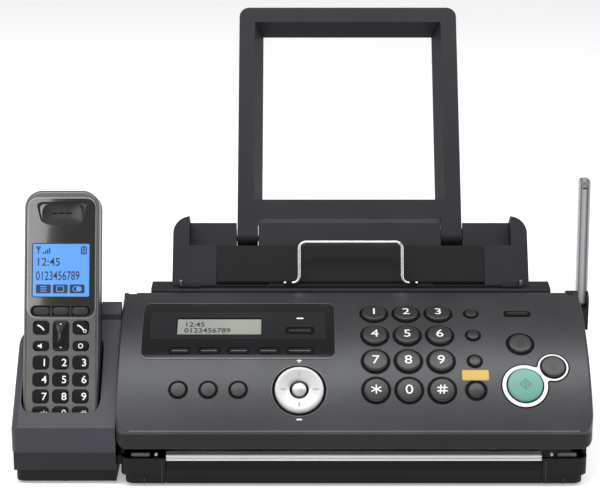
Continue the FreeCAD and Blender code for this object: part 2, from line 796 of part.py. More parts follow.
def bearing_side():
    return prism("bearing_plate", bearing_outline(), ("-bearing_x", "bearing_wall - bearing_x"))


def bearing_cuts(tag):
    """Bores for the driven shafts and open slots for the film hubs."""
    low, deep = ("-bearing_x - bearing_wall", "3 * bearing_wall")
    if tag == "gearbox":
        low, deep = ("gearbox_left - bearing_wall", "2 * bearing_wall")
    cuts = []
    for name, y, z, radius in shafts():
        size = f"{radius} + running_clearance"
        cuts.append(rod(f"{tag}_{name}_bore", "x", (low, y, z), size, deep))
        if name in ("supply", "takeup"):
            cuts.append(block(f"{tag}_{name}_slot", (low, f"({low}) + ({deep})"),
                              (f"{y} - ({size})", f"{y} + ({size})"), (z, "above")))
    return cuts


def shafts():
    return [("platen", "platen_y", "platen_z", "shaft_radius"), ("feed", "feed_y", "feed_z", "shaft_radius"),
            ("supply", "supply_y", "supply_z", "hub_radius"), ("takeup", "takeup_y", "takeup_z", "hub_radius")]


def standoff_places():
    x = "main_board_width / 2 - standoff_inset"
    y_low = "main_board_front + standoff_inset"
    y_high = "main_board_front + main_board_length - standoff_inset"
    return [(f"{sign} * ({x})", y) for sign in (-1, 1) for y in (y_low, y_high)]


def standoffs():
    return [rod(f"standoff_{i}", "z", (x, y, "foot_height"), "standoff_radius", "chassis_wall + standoff_height")
            for i, (x, y) in enumerate(standoff_places())]


def jack_boxes():
    boxes = []
    for name in ("line_jack_x", "power_inlet_x"):
        x = "jack_width / 2 + jack_wall"
        boxes.append(block("box_" + name, (f"{name} - ({x})", f"{name} + ({x})"),
                           ("body_depth - jack_depth - jack_wall", "body_depth"),
                           ("jack_level - jack_wall", "jack_level + jack_height + jack_wall")))
    return boxes


def jack_holes():
    return [block("hole_" + name, (f"{name} - jack_width / 2", f"{name} + jack_width / 2"),
                  ("body_depth - jack_depth", "body_depth + jack_wall"),
                  ("jack_level", "jack_level + jack_height")) for name in ("line_jack_x", "power_inlet_x")]


def foot_places():
    x = "chassis_half - plinth_inset - 2 * foot_radius"
    return [(f"{sign} * ({x})", y) for sign in (-1, 1)
            for y in ("exit_back + 2 * foot_radius", "body_depth - plinth_inset - 2 * foot_radius")]


def foot_recesses():
    return [rod(f"foot_recess_{i}", "z", (x, y, "0"), "foot_radius + gap", "foot_height + foot_recess")
            for i, (x, y) in enumerate(foot_places())]


def rubber_feet():
    feet = [rod(f"foot_{i}", "z", (x, y, "0"), "foot_radius", "foot_height + foot_recess")
            for i, (x, y) in enumerate(foot_places())]
    cradle_x = "(cradle_left + cradle_right) / 2"
    for i, y in enumerate(("cradle_front + 2 * foot_radius", "cradle_back - 1.5 * foot_radius")):
        feet.append(rod(f"foot_cradle_{i}", "z", (cradle_x, y, "0"), "foot_radius", "foot_height"))
    finish("rubber_feet", fuse("feet_group", *feet))


def exit_pieces():
    cover = prism("exit_profile", [
        ("base_setback + plinth_inset / 2", "foot_height"), ("base_setback + plinth_inset / 2", "plinth_top"),
        ("base_setback", "plinth_top"), ("base_setback", "exit_crease + foot_height"),
        ("base_setback + exit_slope", "exit_top"), ("exit_back", "exit_top"), ("exit_back", "foot_height")],
        ("-exit_half", "exit_half"))
    finish("exit_cover", cover)
    top = "exit_top + ledge_rise"
    ledge = block("ledge_bar", ("-exit_half", "exit_half"), ("exit_back", "exit_back + ledge_depth"),
                  (f"{top} - ledge_height", top))
    ridges = [rod("ledge_ridge_" + tag, "x", ("-exit_half", y, top), "ledge_ridge", "exit_width")
              for tag, y in (("front", "exit_back + ridge_inset"), ("rear", "exit_back + ledge_depth - ridge_inset"))]
    finish("exit_ledge", fuse("ledge_whole", ledge, *ridges))


# Rear housing with the paper slot, and what stands in it.

def leaning(name, *pieces):
    """Move pieces drawn along the paper's lean to the foot of the slope."""
    holder = doc.addObject("Part::Refine", name)
    holder.Source = pieces[0] if len(pieces) == 1 else fuse(name + "_group", *pieces)
    return place(holder, ("0", "slope_y", "deck_height"), "-paper_lean")


def rear_housing():
    skirt_block = prism("rear_skirt_block", [
        ("deck_front", "tub_height"), ("deck_front", "shoulder_height"), ("body_depth", "shoulder_rear_height"),
        ("body_depth", "tub_height")], ("-chassis_half", "chassis_half"))
    rear_edge = number("body_depth") - 0.01
    skirt = rounded("rear_skirt", skirt_block, "tub_corner",
                    lambda box: box.YMin > rear_edge and box.XLength < 0.01)
    inner_x = "chassis_half - chassis_wall"
    skirt_room = prism("rear_skirt_room", [
        ("deck_front + chassis_wall", "0"), ("deck_front + chassis_wall", "shoulder_height - 1.5 * chassis_wall"),
        ("body_depth - chassis_wall", "shoulder_rear_height - chassis_wall"), ("body_depth - chassis_wall", "0")],
        (f"-({inner_x})", inner_x))
    deck = round_block("deck", ("-deck_half", "deck_half"), ("deck_front", "deck_front + deck_depth"),
                       ("shoulder_height - 4 * chassis_wall", "deck_height"), "chassis_wall", "x", (10,))
    deck_room = block("deck_room", ("chassis_wall - deck_half", "deck_half - chassis_wall"),
                      ("deck_front + chassis_wall", "slope_y"),
                      ("shoulder_height - 4 * chassis_wall", "deck_height - deck_top"))
    plate = block("deck_plate", ("-deck_plate_width / 2", "deck_plate_width / 2"),
                  ("deck_front + chassis_wall", "slope_y"), ("deck_height", "deck_height + deck_plate_rise"))
    outer = fuse("rear_outer", skirt, deck)
    shell = cut("rear_shell", outer, skirt_room, deck_room)
    whole = fuse("rear_whole", shell, plate, rear_paper_box(), *tray_ears(), *wire_ears(), *rear_ribs(), antenna_pod())
    cuts = [paper_passage(), tension_window(), *tray_notches(), tray_bore(), wire_bore(), *guide_slots(),
            antenna_slot(), antenna_bore()]
    finish("rear_housing", cut("rear_finished", whole, *cuts))


def rear_paper_box():
    slope = block("slope_plate", ("-rear_half", "rear_half"), ("0", "slope_wall"), ("-slope_wall", "slope_length"))
    back = block("slot_back_wall", ("-rear_half", "rear_half"), ("slot_back", "rear_back"),
                 ("-slope_length", "rear_length"))
    cheeks = [block("cheek_" + tag, side(sign, "paper_half", "rear_half"), ("0", "rear_back"),
                    ("-slope_wall", "rear_length")) for tag, sign in (("left", -1), ("right", 1))]
    envelope = round_block("rear_envelope", ("-rear_half", "rear_half"), ("-slope_wall", "2 * rear_back"),
                           ("-2 * slope_length", "rear_length"), "rear_corner", "y", (2, 6))
    raw = fuse("paper_box_raw", slope, back, *cheeks)
    return leaning("paper_box", common("paper_box_round", raw, envelope))


def paper_passage():
    tool = block("paper_passage_tool", ("-paper_half", "paper_half"), ("slope_wall", "slot_back"),
                 ("-2 * slope_length", "2 * rear_length"))
    return leaning("paper_passage", tool)


def tension_window():
    x = "tension_half + gap"
    tool = block("tension_window_tool", (f"-({x})", x), ("-slope_wall", "slope_wall + gap"), ("-gap", "rear_length"))
    low = "-tension_half - tension_pin_length - gap"
    bore = rod("tension_bore", "x", (low, "tension_in", "tension_in"), "tension_pin / 2 + running_clearance",
               f"-2 * ({low})")
    return leaning("tension_room", tool, bore)


def tray_notches():
    cuts = []
    for tag, sign in (("left", -1), ("right", 1)):
        tool = block("tray_notch_tool_" + tag, side(sign, "leg_inner - knuckle_gap", "tray_half + knuckle_gap"),
                     ("slot_back - gap", "tray_axis_in + 2 * knuckle_radius"),
                     ("tray_axis_up - knuckle_radius - 3 * knuckle_gap", "2 * rear_length"))
        cuts.append(leaning("tray_notch_" + tag, tool))
    return cuts


def tray_ears():
    ears = []
    for tag, sign in (("left", -1), ("right", 1)):
        for place_name, inner in (("in", "leg_inner - knuckle_gap - tray_ear"), ("out", "tray_half + knuckle_gap")):
            low, high = side(sign, inner, f"{inner} + tray_ear")
            name = f"tray_ear_{tag}_{place_name}"
            head = rod(name + "_head", "x", (low, "tray_axis_in", "tray_axis_up"), "knuckle_radius", "tray_ear")
            root = block(name + "_root", (low, high), ("slot_back", "tray_axis_in"),
                         ("tray_axis_up - 2 * knuckle_radius", "tray_axis_up + knuckle_radius"))
            ears.append(leaning(name, head, root))
    return ears


def tray_bore():
    tool = rod("tray_bore_tool", "x", ("-rear_half", "tray_axis_in", "tray_axis_up"),
               "tray_pin / 2 + running_clearance", "rear_width")
    return leaning("tray_bore", tool)


def wire_ears():
    return [block("wire_ear_" + tag, side(sign, "wire_end - wire_ear", "wire_end"),
                  ("wire_y - wire_diameter", "wire_y + wire_diameter"),
                  ("deck_height - gap", "wire_z + wire_diameter")) for tag, sign in (("left", -1), ("right", 1))]


def wire_bore():
    return rod("wire_bore", "x", ("-wire_width", "wire_y", "wire_z"), "wire_radius + running_clearance",
               "2 * wire_width")


def rear_ribs():
    """Ribs that brace the slot's back wall against the shoulder behind it."""
    foot_y = "slope_y + rear_back * cos(paper_lean)"
    foot_z = "deck_height - rear_back * sin(paper_lean)"
    up = "(tray_axis_up - 3 * knuckle_radius)"
    seat = "shoulder_height - chassis_wall / 2 - shoulder_fall"
    front, rear = (f"({foot_y} - back_wall)", "(body_depth - tub_corner)")
    outline = [(front, f"{seat} * ({front} - deck_front)"),
               (f"{foot_y} + {up} * sin(paper_lean) - back_wall / 2", f"{foot_z} + {up} * cos(paper_lean)"),
               (rear, f"{seat} * ({rear} - deck_front)")]
    ribs = []
    for tag, x in (("inner", "rib_inner_x"), ("outer", "rib_outer_x")):
        for name, sign in (("left", -1), ("right", 1)):
            ribs.append(prism(f"rear_rib_{tag}_{name}", outline, side(sign, x, f"{x} + rib_thickness")))
    return ribs


def guide_slots():
    inner = "guide_half - guide_travel - guide_shoe - gap"
    y = ("guide_y - guide_tongue / 2 - gap", "guide_y + guide_tongue / 2 + gap")
    return [block("guide_slot_" + tag, side(sign, inner, "guide_half + guide_fence + gap"), y,
                  ("deck_height - 2 * deck_top", "deck_height + deck_top")) for tag, sign in (("left", -1), ("right", 1))]


def antenna_pod():
    return round_block("antenna_pod", ("chassis_half - chassis_wall", "half + antenna_reach"),
                       ("antenna_y - pod_length / 2", "antenna_y + pod_length / 2"),
                       ("antenna_axis_height - pod_drop", "antenna_axis_height + pod_length / 2"),
                       "pod_round", "x", (10, 12))


def antenna_slot():
    x = "antenna_knuckle / 2 + gap"
    return block("antenna_slot", (f"antenna_x - ({x})", f"antenna_x + ({x})"),
                 ("antenna_y - pod_length", "antenna_y + pod_length"),
                 ("antenna_axis_height - antenna_thickness / 2 - gap", "antenna_axis_height + pod_length"))


def antenna_bore():
    return rod("antenna_bore", "x", ("half", "antenna_y", "antenna_axis_height"),
               "antenna_pin / 2 + running_clearance", "2 * antenna_reach")


def antenna_blade():
    turn = "pod_length / 2 + 2 * gap"
    blade = round_block("antenna_flat", ("-antenna_width / 2", "antenna_width / 2"),
                        ("-antenna_thickness / 2", "antenna_thickness / 2"), (turn, "antenna_length"),
                        "antenna_width / 3", "y", (2, 6))
    neck = block("antenna_neck", ("-antenna_knuckle / 2", "antenna_knuckle / 2"),
                 ("-antenna_thickness / 2", "antenna_thickness / 2"), ("0", turn))
    knuckle = rod("antenna_eye", "x", ("-antenna_knuckle / 2", "0", "0"), "antenna_thickness / 2", "antenna_knuckle")
    reach = "antenna_reach / 2 - 2 * gap"
    pin = rod("antenna_pin_rod", "x", (f"-({reach})", "0", "0"), "antenna_pin / 2", f"2 * ({reach})")
    finish("antenna_blade", fuse("antenna_whole", blade, neck, knuckle, pin),
           in_unit("antenna_x", "antenna_y", "antenna_axis_height"), "-antenna_lean")


def tension_plate():
    x = "tension_half"
    plate = block("tension_flat", (f"-{x}", x), ("-tension_in", "tension_wall - tension_in"),
                  ("0", "slope_length - tension_in - gap"))
    bead = rod("tension_bead", "x", (f"-{x}", "0", "0"), "tension_in", "tension_width")
    low = "-tension_half - tension_pin_length"
    pin = rod("tension_pin_rod", "x", (low, "0", "0"), "tension_pin / 2", f"-2 * ({low})")
    finish("tension_plate", fuse("tension_whole", plate, bead, pin), in_unit("0", "tension_y", "tension_z"),
           "-paper_lean")


def paper_tray():
    back = "tray_thickness - knuckle_radius"
    outer = round_block("tray_outer", ("-tray_half", "tray_half"), ("-knuckle_radius", back), ("0", "tray_length"),
                        "tray_corner", "y", (2, 6))
    window = doc.addObject("Part::Wedge", "tray_window")
    wedge = {"Xmin": "-leg_inner - tray_draft / 2", "Xmax": "leg_inner + tray_draft / 2",
             "X2min": "tray_draft / 2 - leg_inner", "X2max": "leg_inner - tray_draft / 2",
             "Ymin": "-knuckle_radius - gap", "Ymax": f"{back} + gap",
             "Zmin": "tray_cross_low + tray_cross", "Zmax": "tray_length - tray_bar",
             "Z2min": "tray_cross_low + tray_cross + tray_draft / 2", "Z2max": "tray_length - tray_bar - tray_draft"}
    for name, text in wedge.items():
        window.setExpression(name, formula(text))
    under = block("tray_under", ("-leg_inner", "leg_inner"), ("-tray_thickness", "tray_thickness"),
                  ("-knuckle_radius", "tray_cross_low"))
    knuckles = []
    for tag, sign in (("left", -1), ("right", 1)):
        low = side(sign, "leg_inner", "tray_half")[0]
        knuckles.append(rod("tray_knuckle_" + tag, "x", (low, "0", "0"), "knuckle_radius", "tray_leg"))
        reach = "knuckle_gap + tray_ear"
        low, high = side(sign, f"leg_inner - ({reach})", f"tray_half + {reach}")
        knuckles.append(rod("tray_pin_" + tag, "x", (low, "0", "0"), "tray_pin / 2", f"({high}) - ({low})"))
    frame = cut("tray_frame", outer, window, under)
    finish("paper_tray", fuse("tray_whole", frame, *knuckles), in_unit("0", "tray_axis_y", "tray_axis_z"),
           "-paper_lean")


def document_wire():
    """Bent wire that holds documents up: a hoop with its two feet turned outward."""
    half_wide = number("wire_half")
    high = number("wire_height")
    foot = number("wire_end + wire_foot")
    bend = number("wire_bend")
    turn = bend * (1 - 0.5 ** 0.5)

    def point(x, z):
        return FreeCAD.Vector(x, 0, z)

    half_path = [Part.LineSegment(point(-foot, 0), point(-half_wide - bend, 0)),
                 Part.Arc(point(-half_wide - bend, 0), point(-half_wide - turn, turn), point(-half_wide, bend)),
                 Part.LineSegment(point(-half_wide, bend), point(-half_wide, high - bend)),
                 Part.Arc(point(-half_wide, high - bend), point(-half_wide + turn, high - turn),
                          point(-half_wide + bend, high))]
    left = [curve.toShape() for curve in half_path]
    top = Part.LineSegment(point(-half_wide + bend, high), point(half_wide - bend, high)).toShape()
    right = [edge.mirror(FreeCAD.Vector(), FreeCAD.Vector(1, 0, 0)) for edge in reversed(left)]
    spine = Part.Wire(Part.__sortEdges__(left + [top] + right))
    ring = Part.Circle(point(-foot, 0), FreeCAD.Vector(1, 0, 0), number("wire_radius")).toShape()
    obj = doc.addObject("Part::Feature", "document_wire")
    obj.Shape = spine.makePipeShell([Part.Wire(ring)], True, False)
    obj.Label = "document_wire"
    place(obj, in_unit("0", "wire_y", "wire_z"), "-wire_lean")
    sub_parts.append(obj)


def document_guide(tag, sign):
    inner, outer = ("guide_half - guide_shoe", "guide_half + guide_fence")
    y = ("guide_y - guide_depth / 2", "guide_y + guide_depth / 2")
    low = "deck_height + gap / 2"
    fence = round_block("guide_fence_" + tag, side(sign, "guide_half", outer), y,
                        (low, "deck_height + guide_height"), "guide_depth / 3", "x", (10, 12))
    shoe = block("guide_shoe_" + tag, side(sign, inner, outer), y, (low, f"{low} + guide_shoe_rise"))
    tongue = block("guide_tongue_" + tag, side(sign, inner, outer),
                   ("guide_y - guide_tongue / 2", "guide_y + guide_tongue / 2"),
                   ("deck_height - deck_top - gap - guide_keeper", low))
    reach = "guide_tongue / 2 + guide_ledge"
    keeper = block("guide_keeper_" + tag, side(sign, inner, outer), (f"guide_y - ({reach})", f"guide_y + {reach}"),
                   ("deck_height - deck_top - gap - guide_keeper", "deck_height - deck_top - gap"))
    finish("document_guide_" + tag, fuse("guide_whole_" + tag, fence, shoe, tongue, keeper))


# Printing and reading works inside the tub.

def roller(label, name, pieces, radius):
    y, z = [(y, z) for key, y, z, size in shafts() if key == name][0]
    low = "-bearing_x - gap"
    shaft = rod(label + "_shaft", "x", (low, y, z), radius, "bearing_x + gearbox_left + bearing_wall / 2 + gap")
    bodies = [rod(f"{label}_body_{i}", "x", (start, y, z), size, length)
              for i, (start, size, length) in enumerate(pieces)]
    finish(label, fuse(label + "_whole", shaft, *bodies))


def rollers():
    full = ("-roller_half", "2 * roller_half")
    roller("platen_roller", "platen", [(full[0], "platen_radius", full[1])], "shaft_radius")
    roller("film_supply_roll", "supply", [(full[0], "supply_radius", full[1])], "hub_radius")
    roller("film_takeup_roll", "takeup", [(full[0], "takeup_radius", full[1])], "hub_radius")
    tyres = [(f"{i} * feed_pitch - feed_length / 2", "feed_radius", "feed_length") for i in (-1, 0, 1)]
    roller("document_roller", "feed", tyres, "shaft_radius")


def print_head():
    x = "head_half"
    y = ("platen_y - head_depth / 2", "platen_y + head_depth / 2")
    bar = block("head_bar", (f"-{x}", x), y, ("head_top - head_height", "head_top"))
    legs = [block("head_leg_" + tag, side(sign, f"{x} - head_leg", x), y,
                  ("floor_top", "head_top - head_height")) for tag, sign in (("left", -1), ("right", 1))]
    fins = [block(f"head_fin_{i}", (f"-{x}", x), (f"{y[0]} + {i} * head_leg", f"{y[0]} + ({i} + 0.4) * head_leg"),
                  ("head_top - head_height - head_leg / 2", "head_top - head_height")) for i in range(5)]
    finish("thermal_head", fuse("head_whole", bar, *legs, *fins))


def image_sensor():
    """Reading bar that hangs under the key board and faces the document's path."""
    y = ("sensor_on_board - sensor_depth / 2", "sensor_on_board + sensor_depth / 2")
    low = "-board_thickness - sensor_height"
    bar = round_block("sensor_bar", ("-roller_half", "roller_half"), y, (low, "-board_thickness"), "sensor_edge",
                      "x", (9, 11))
    reach = "roller_half - sensor_edge"
    glass = block("sensor_glass_groove", (f"-({reach})", reach),
                  ("sensor_on_board - sensor_glass / 2", "sensor_on_board + sensor_glass / 2"),
                  (f"{low} - gap", f"{low} + gap"))
    finish("image_sensor", cut("sensor_whole", bar, glass), in_unit("0", "board_y", "board_z"), "board_tilt")


def drive_gearbox():
    """Closed gear case on the right, with the stepper motor on its inner face."""
    case = prism("gearbox_case", [
        ("bearing_front", "floor_top"), ("bearing_front", "bearing_front_height"),
        ("bearing_rear", "bearing_rear_height"), ("bearing_rear", "motor_z + motor_radius"),
        ("motor_y + motor_radius", "motor_z + motor_radius"), ("motor_y + motor_radius", "floor_top")],
        ("gearbox_left", "gearbox_left + gearbox_width"))
    motor = rod("motor_can", "x", ("gearbox_left - motor_length", "motor_y", "motor_z"), "motor_radius", "motor_length")
    finish("drive_gearbox", cut("gearbox_whole", fuse("gearbox_parts", case, motor), *bearing_cuts("gearbox")))


def main_board():
    x = "main_board_width / 2"
    y = ("main_board_front", "main_board_front + main_board_length")
    low = "floor_top + standoff_height"
    top = f"{low} + board_thickness"
    plate = block("main_plate", (f"-{x}", x), y, (low, top))
    parts = [rod(f"board_capacitor_{i}", "z", (f"({i} + 1) * capacitor_pitch - {x}", f"{y[1]} - capacitor_inset", top),
                 "capacitor_radius", "capacitor_height") for i in range(3)]
    parts.append(block("board_chip", ("-chip_size / 2", "chip_size / 2"),
                       (f"{y[1]} - chip_inset - chip_size", f"{y[1]} - chip_inset"),
                       (top, f"{top} + board_thickness")))
    finish("main_board", fuse("main_board_whole", plate, *parts))


# Handset and its cradle.

def cradle():
    y = ("cradle_front", "cradle_back")
    x = ("cradle_left", "cradle_right")
    block_outline = [(y[0], "cradle_step_height"), (y[0], "cradle_front_height"),
                     (y[1], "cradle_top_height"), (y[1], "cradle_step_height")]
    rise = "(cradle_top_height - cradle_front_height) / cradle_depth"
    shoulder = prism("cradle_shoulder", [
        (y[0], "cradle_step_height"), (y[0], "cradle_front_height"),
        ("shoulder_depth", f"cradle_front_height + (shoulder_depth - cradle_front) * {rise}"),
        ("shoulder_depth", "shoulder_top - cradle_corner"), ("shoulder_depth + cradle_corner", "shoulder_top"),
        ("shoulder_depth + 2 * cradle_corner", "shoulder_top"),
        ("shoulder_depth + 2 * cradle_corner", "cradle_step_height")],
        ("cradle_right - shoulder_width", "cradle_right"))
    body = rounded("cradle_body", prism("cradle_block", block_outline, x), "cradle_corner",
                   lambda box: box.XMax < number("cradle_left") + 0.01 and box.ZLength > 1)
    step = block("cradle_step_band", ("cradle_left + cradle_step", "cradle_right"),
                 ("cradle_front + cradle_step", "cradle_back"), ("cradle_base_height", "cradle_step_height"))
    tongue = block("cradle_tongue", ("cradle_right - cradle_corner", "-chassis_half"),
                   ("cradle_front + 2 * cradle_corner", "cradle_back - cradle_corner"),
                   ("cradle_base_height", "cradle_base_height + tongue_height"))
    whole = fuse("cradle_whole", body, shoulder, step, tongue)
    finish("cradle_housing", cut("cradle_pocketed", whole, handset_pocket()))
    inset = "2 * cradle_step"
    plate = round_block("cradle_plate", (f"cradle_left + {inset}", "cradle_right"),
                        (f"cradle_front + {inset}", "cradle_back"), ("foot_height", "cradle_base_height"),
                        "cradle_corner", "z", (1, 3))
    finish("cradle_base", plate)


def handset_pocket():
    x = "handset_half + pocket_gap"
    tool = round_block("pocket_tool", (f"-({x})", x), ("handset_face - pocket_front_gap", "pocket_gap - handset_face"),
                       ("0", "handset_length"), "handset_corner / 2", "z")
    holder = doc.addObject("Part::Refine", "pocket")
    holder.Source = tool
    return place(holder, ("handset_x", "handset_y", "handset_z"), "-handset_lean")


def handset_blank(name, y):
    return round_block(name, ("-handset_half", "handset_half"), y, ("0", "handset_length"), "handset_corner", "y")


def handset_room(name, y):
    return block(name, ("-handset_inner", "handset_inner"), y,
                 ("handset_wall + handset_corner / 4", "handset_length - handset_wall - handset_corner / 4"))


def pad_keys():
    """Width, height, x and middle height of each rubber key of the handset."""
    keys = []
    for line in range(4):
        for column in (-1, 0, 1):
            keys.append(("pad_key_width", "pad_key_height", f"{column} * pad_pitch",
                         f"pad_first_row + {line} * pad_row_pitch"))
    for column in (-1, 1):
        keys.append(("pad_key_width", "pad_key_height", f"{column} * pad_pitch", "pad_call_row"))
        keys.append(("pad_key_width", "pad_lower_height", f"{column} * pad_pitch", "pad_lower_row"))
    span = "pad_call_row - pad_lower_row + (pad_key_height + pad_lower_height) / 2"
    middle = "(pad_call_row + pad_lower_row) / 2 + (pad_key_height - pad_lower_height) / 4"
    keys.append(("pad_key_width", span, "0", middle))
    return keys


def pad_blocks(tag, low, high, grow):
    blocks = []
    for i, (wide, tall, x, z) in enumerate(pad_keys()):
        reach = f"({wide}) / 2 + {grow}"
        span = f"({tall}) / 2 + {grow}"
        blocks.append(round_block(f"{tag}_{i}", (f"{x} - ({reach})", f"{x} + {reach}"), (low, high),
                                  (f"{z} - ({span})", f"{z} + {span}"), f"pad_key_corner + {grow}", "y"))
    return blocks


def handset():
    at = in_unit("handset_x", "handset_y", "handset_z")
    lean = "-handset_lean"
    face = number("handset_face") + 0.01
    front = rounded("handset_front_soft", handset_blank("handset_front_blank", ("handset_face", "handset_seam")),
                    "handset_front_edge", lambda box: box.YMax < face)
    room = handset_room("handset_front_room", ("pad_face", "handset_seam"))
    recess = round_block("glass_recess", ("-glass_half - gap", "glass_half + gap"),
                         ("handset_face - gap", "handset_face + glass_depth"),
                         ("glass_low - gap", "glass_high + gap"), "glass_corner + gap", "y")
    holes = pad_blocks("pad_hole", "handset_face - handset_wall", "pad_face + gap", "gap")
    finish("handset_front", cut("handset_front_shell", front, room, recess, *holes), at, lean)
    rear = number("-handset_face") - 0.01
    back = rounded("handset_back_soft", handset_blank("handset_back_blank", ("handset_seam", "-handset_face")),
                   "handset_back_edge", lambda box: box.YMin > rear)
    room = handset_room("handset_back_room", ("handset_seam", "-handset_face - handset_wall"))
    finish("handset_back", cut("handset_back_shell", back, room), at, lean)
    glass = round_block("glass_plate", ("-glass_half", "glass_half"), ("handset_face", "handset_face + glass_depth"),
                        ("glass_low", "glass_high"), "glass_corner", "y")
    ear = round_block("glass_ear", ("-pad_pitch", "pad_pitch"), ("handset_face - gap", "handset_face + glass_depth / 2"),
                      ("glass_high - earpiece_from_top - earpiece_height", "glass_high - earpiece_from_top"), "glass_corner", "y")
    finish("handset_window", cut("glass_whole", glass, ear), at, lean)
    sheet_plate = block("pad_plate", ("-pad_half", "pad_half"), ("pad_face", "pad_face + pad_sheet"),
                        ("pad_low", "pad_high"))
    caps = pad_blocks("pad_cap", "handset_face - pad_proud", "pad_face + pad_sheet / 2", "0")
    finish("handset_keypad", fuse("pad_whole", sheet_plate, *caps), at, lean)


def build():
    front_cover()
    for key in panel_keys():
        make_key(*key)
    ring_key()
    display_pieces()
    panel_board()
    bottom_chassis()
    rubber_feet()
    exit_pieces()
    rear_housing()
    tension_plate()
    paper_tray()
    document_wire()
    mirrored_pair(document_guide)
    antenna_blade()
    rollers()
    print_head()
    image_sensor()
    drive_gearbox()
    main_board()
    cradle()
    handset()
    doc.recompute()


def check():
    """Stop before anything is written if an object failed or a shape is bad."""
    failed = [obj.Name for obj in doc.Objects if {"Invalid", "Error"} & set(obj.State)]
    if failed:
        raise RuntimeError("failed objects: " + ", ".join(failed))
    for obj in sub_parts:
        if obj.Shape.isNull() or not obj.Shape.isValid() or not obj.Shape.Solids:
            raise RuntimeError("bad shape: " + obj.Label)


def export():
    os.makedirs("parts", exist_ok=True)
    for obj in sub_parts:
        obj.Shape.exportStep(f"parts/{obj.Label}.step")
        print(obj.Label, len(obj.Shape.Solids), round(obj.Shape.Volume))


build()
check()
export()
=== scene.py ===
import json
import math

import bpy
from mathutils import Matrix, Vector
from mathutils.bvhtree import BVHTree
from mathutils.geometry import tessellate_polygon


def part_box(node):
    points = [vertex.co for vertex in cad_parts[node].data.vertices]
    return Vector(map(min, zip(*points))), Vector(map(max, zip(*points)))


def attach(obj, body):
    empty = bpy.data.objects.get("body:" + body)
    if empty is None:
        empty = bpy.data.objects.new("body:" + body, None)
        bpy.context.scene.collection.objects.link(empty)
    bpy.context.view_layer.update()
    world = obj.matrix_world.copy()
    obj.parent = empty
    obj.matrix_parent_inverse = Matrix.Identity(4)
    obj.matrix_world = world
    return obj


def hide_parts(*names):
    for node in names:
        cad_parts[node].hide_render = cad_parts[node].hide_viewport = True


# Looks of a fax machine with a curved key panel, a cordless handset in a side cradle,
# a leaning paper tray and a folding antenna. Metres, in the frame of the CAD model:
# +Z up, the front faces -Y, +X is to the right of someone facing the front.

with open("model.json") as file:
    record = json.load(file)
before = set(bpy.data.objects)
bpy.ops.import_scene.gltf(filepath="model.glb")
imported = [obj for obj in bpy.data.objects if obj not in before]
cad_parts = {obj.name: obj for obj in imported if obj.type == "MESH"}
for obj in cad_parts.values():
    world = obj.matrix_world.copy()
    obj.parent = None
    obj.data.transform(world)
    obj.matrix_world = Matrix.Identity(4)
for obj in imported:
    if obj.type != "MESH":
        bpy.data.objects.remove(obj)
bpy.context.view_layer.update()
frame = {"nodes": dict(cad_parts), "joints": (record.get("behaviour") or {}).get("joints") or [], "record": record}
NODES = frame["nodes"]
JOINTS = {joint["name"]: joint for joint in frame["joints"]}
SLOTS = {part["node"]: part["material_slot"] for part in frame["record"]["subparts"]}

MM = 0.001
PANEL_RADIUS = 125 * MM
FRONT_TILT = math.radians(58)
FRONT_EDGE_HEIGHT = 39 * MM
BODY_MIDDLE_X = sum(corner.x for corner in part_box("front_cover")) / 2
FRONT_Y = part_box("front_cover")[0].y
ARC_Y = FRONT_Y + PANEL_RADIUS * math.sin(FRONT_TILT)
ARC_Z = FRONT_EDGE_HEIGHT - PANEL_RADIUS * math.cos(FRONT_TILT)

# Sizes of the model that the trim is built on, in mm; rows and arcs run up the panel from its front edge
BODY_DEPTH = 172.0
TUB_HALF = 147.2
FLANK_MIDDLE = 137
CRADLE_STEP = 23.0
RING_RADIUS = 15.5
WINDOW_X, WINDOW_ROW, WINDOW_WIDE, WINDOW_LONG = -73.5, 75.2, 123.6, 51.0
LENS_SIDES, LENS_ROWS = (-130.4, -17.8), (65.2, 90.4)
LCD_X, LCD_ROW, LCD_WIDE, LCD_LONG = -86.0, 76.6, 54.8, 15.2
GLASS_LIFT = 0.5
PAD_COLUMNS, PAD_FIRST, PAD_ROW = 12.6, 15.4, 10.7
PAD_PROUD = 0.7
ANTENNA_LEAN = math.radians(6)
ANTENNA_AXIS = 85.0
ANTENNA_HALF = 2.8

MOTTLE_SCALE = 28
ZONE_BLUR = 1 * MM
CORNER_STEPS = 6
FONT_SIZE = 10


# Materials

def set_up(node, values):
    """Constants on a node's inputs, each named with _ for a space."""
    for socket, value in values.items():
        node.inputs[socket.replace("_", " ")].default_value = value
    return node


def material(name, **sockets):
    """Principled material with constants on its own sockets."""
    made = bpy.data.materials.new(name)
    made.use_nodes = True
    return made, made.node_tree, set_up(made.node_tree.nodes["Principled BSDF"], sockets)


def new_node(tree, kind, **values):
    return set_up(tree.nodes.new("ShaderNode" + kind), values)


def noise(tree, scale, detail=3.0, stretch=(1, 1, 1)):
    mapping = new_node(tree, "Mapping", Scale=stretch)
    texture = new_node(tree, "TexNoise", Scale=scale, Detail=detail)
    tree.links.new(new_node(tree, "TexCoord").outputs["Object"], mapping.inputs["Vector"])
    tree.links.new(mapping.outputs["Vector"], texture.inputs["Vector"])
    return texture.outputs["Fac"]


def ramped(tree, factor, stops):
    """Colours over a factor, from stops of (place, colour)."""
    ramp = new_node(tree, "ValToRGB")
    elements = ramp.color_ramp.elements
    while len(elements) < len(stops):
        elements.new(0.5)
    for element, (spot, colour) in zip(elements, stops):
        element.position = spot
        element.color = (*colour, 1)
    tree.links.new(factor, ramp.inputs["Fac"])
    return ramp.outputs["Color"]


def in_range(tree, factor, low, high):
    node = new_node(tree, "MapRange", To_Min=low, To_Max=high)
    tree.links.new(factor, node.inputs["Value"])
    return node.outputs["Result"]


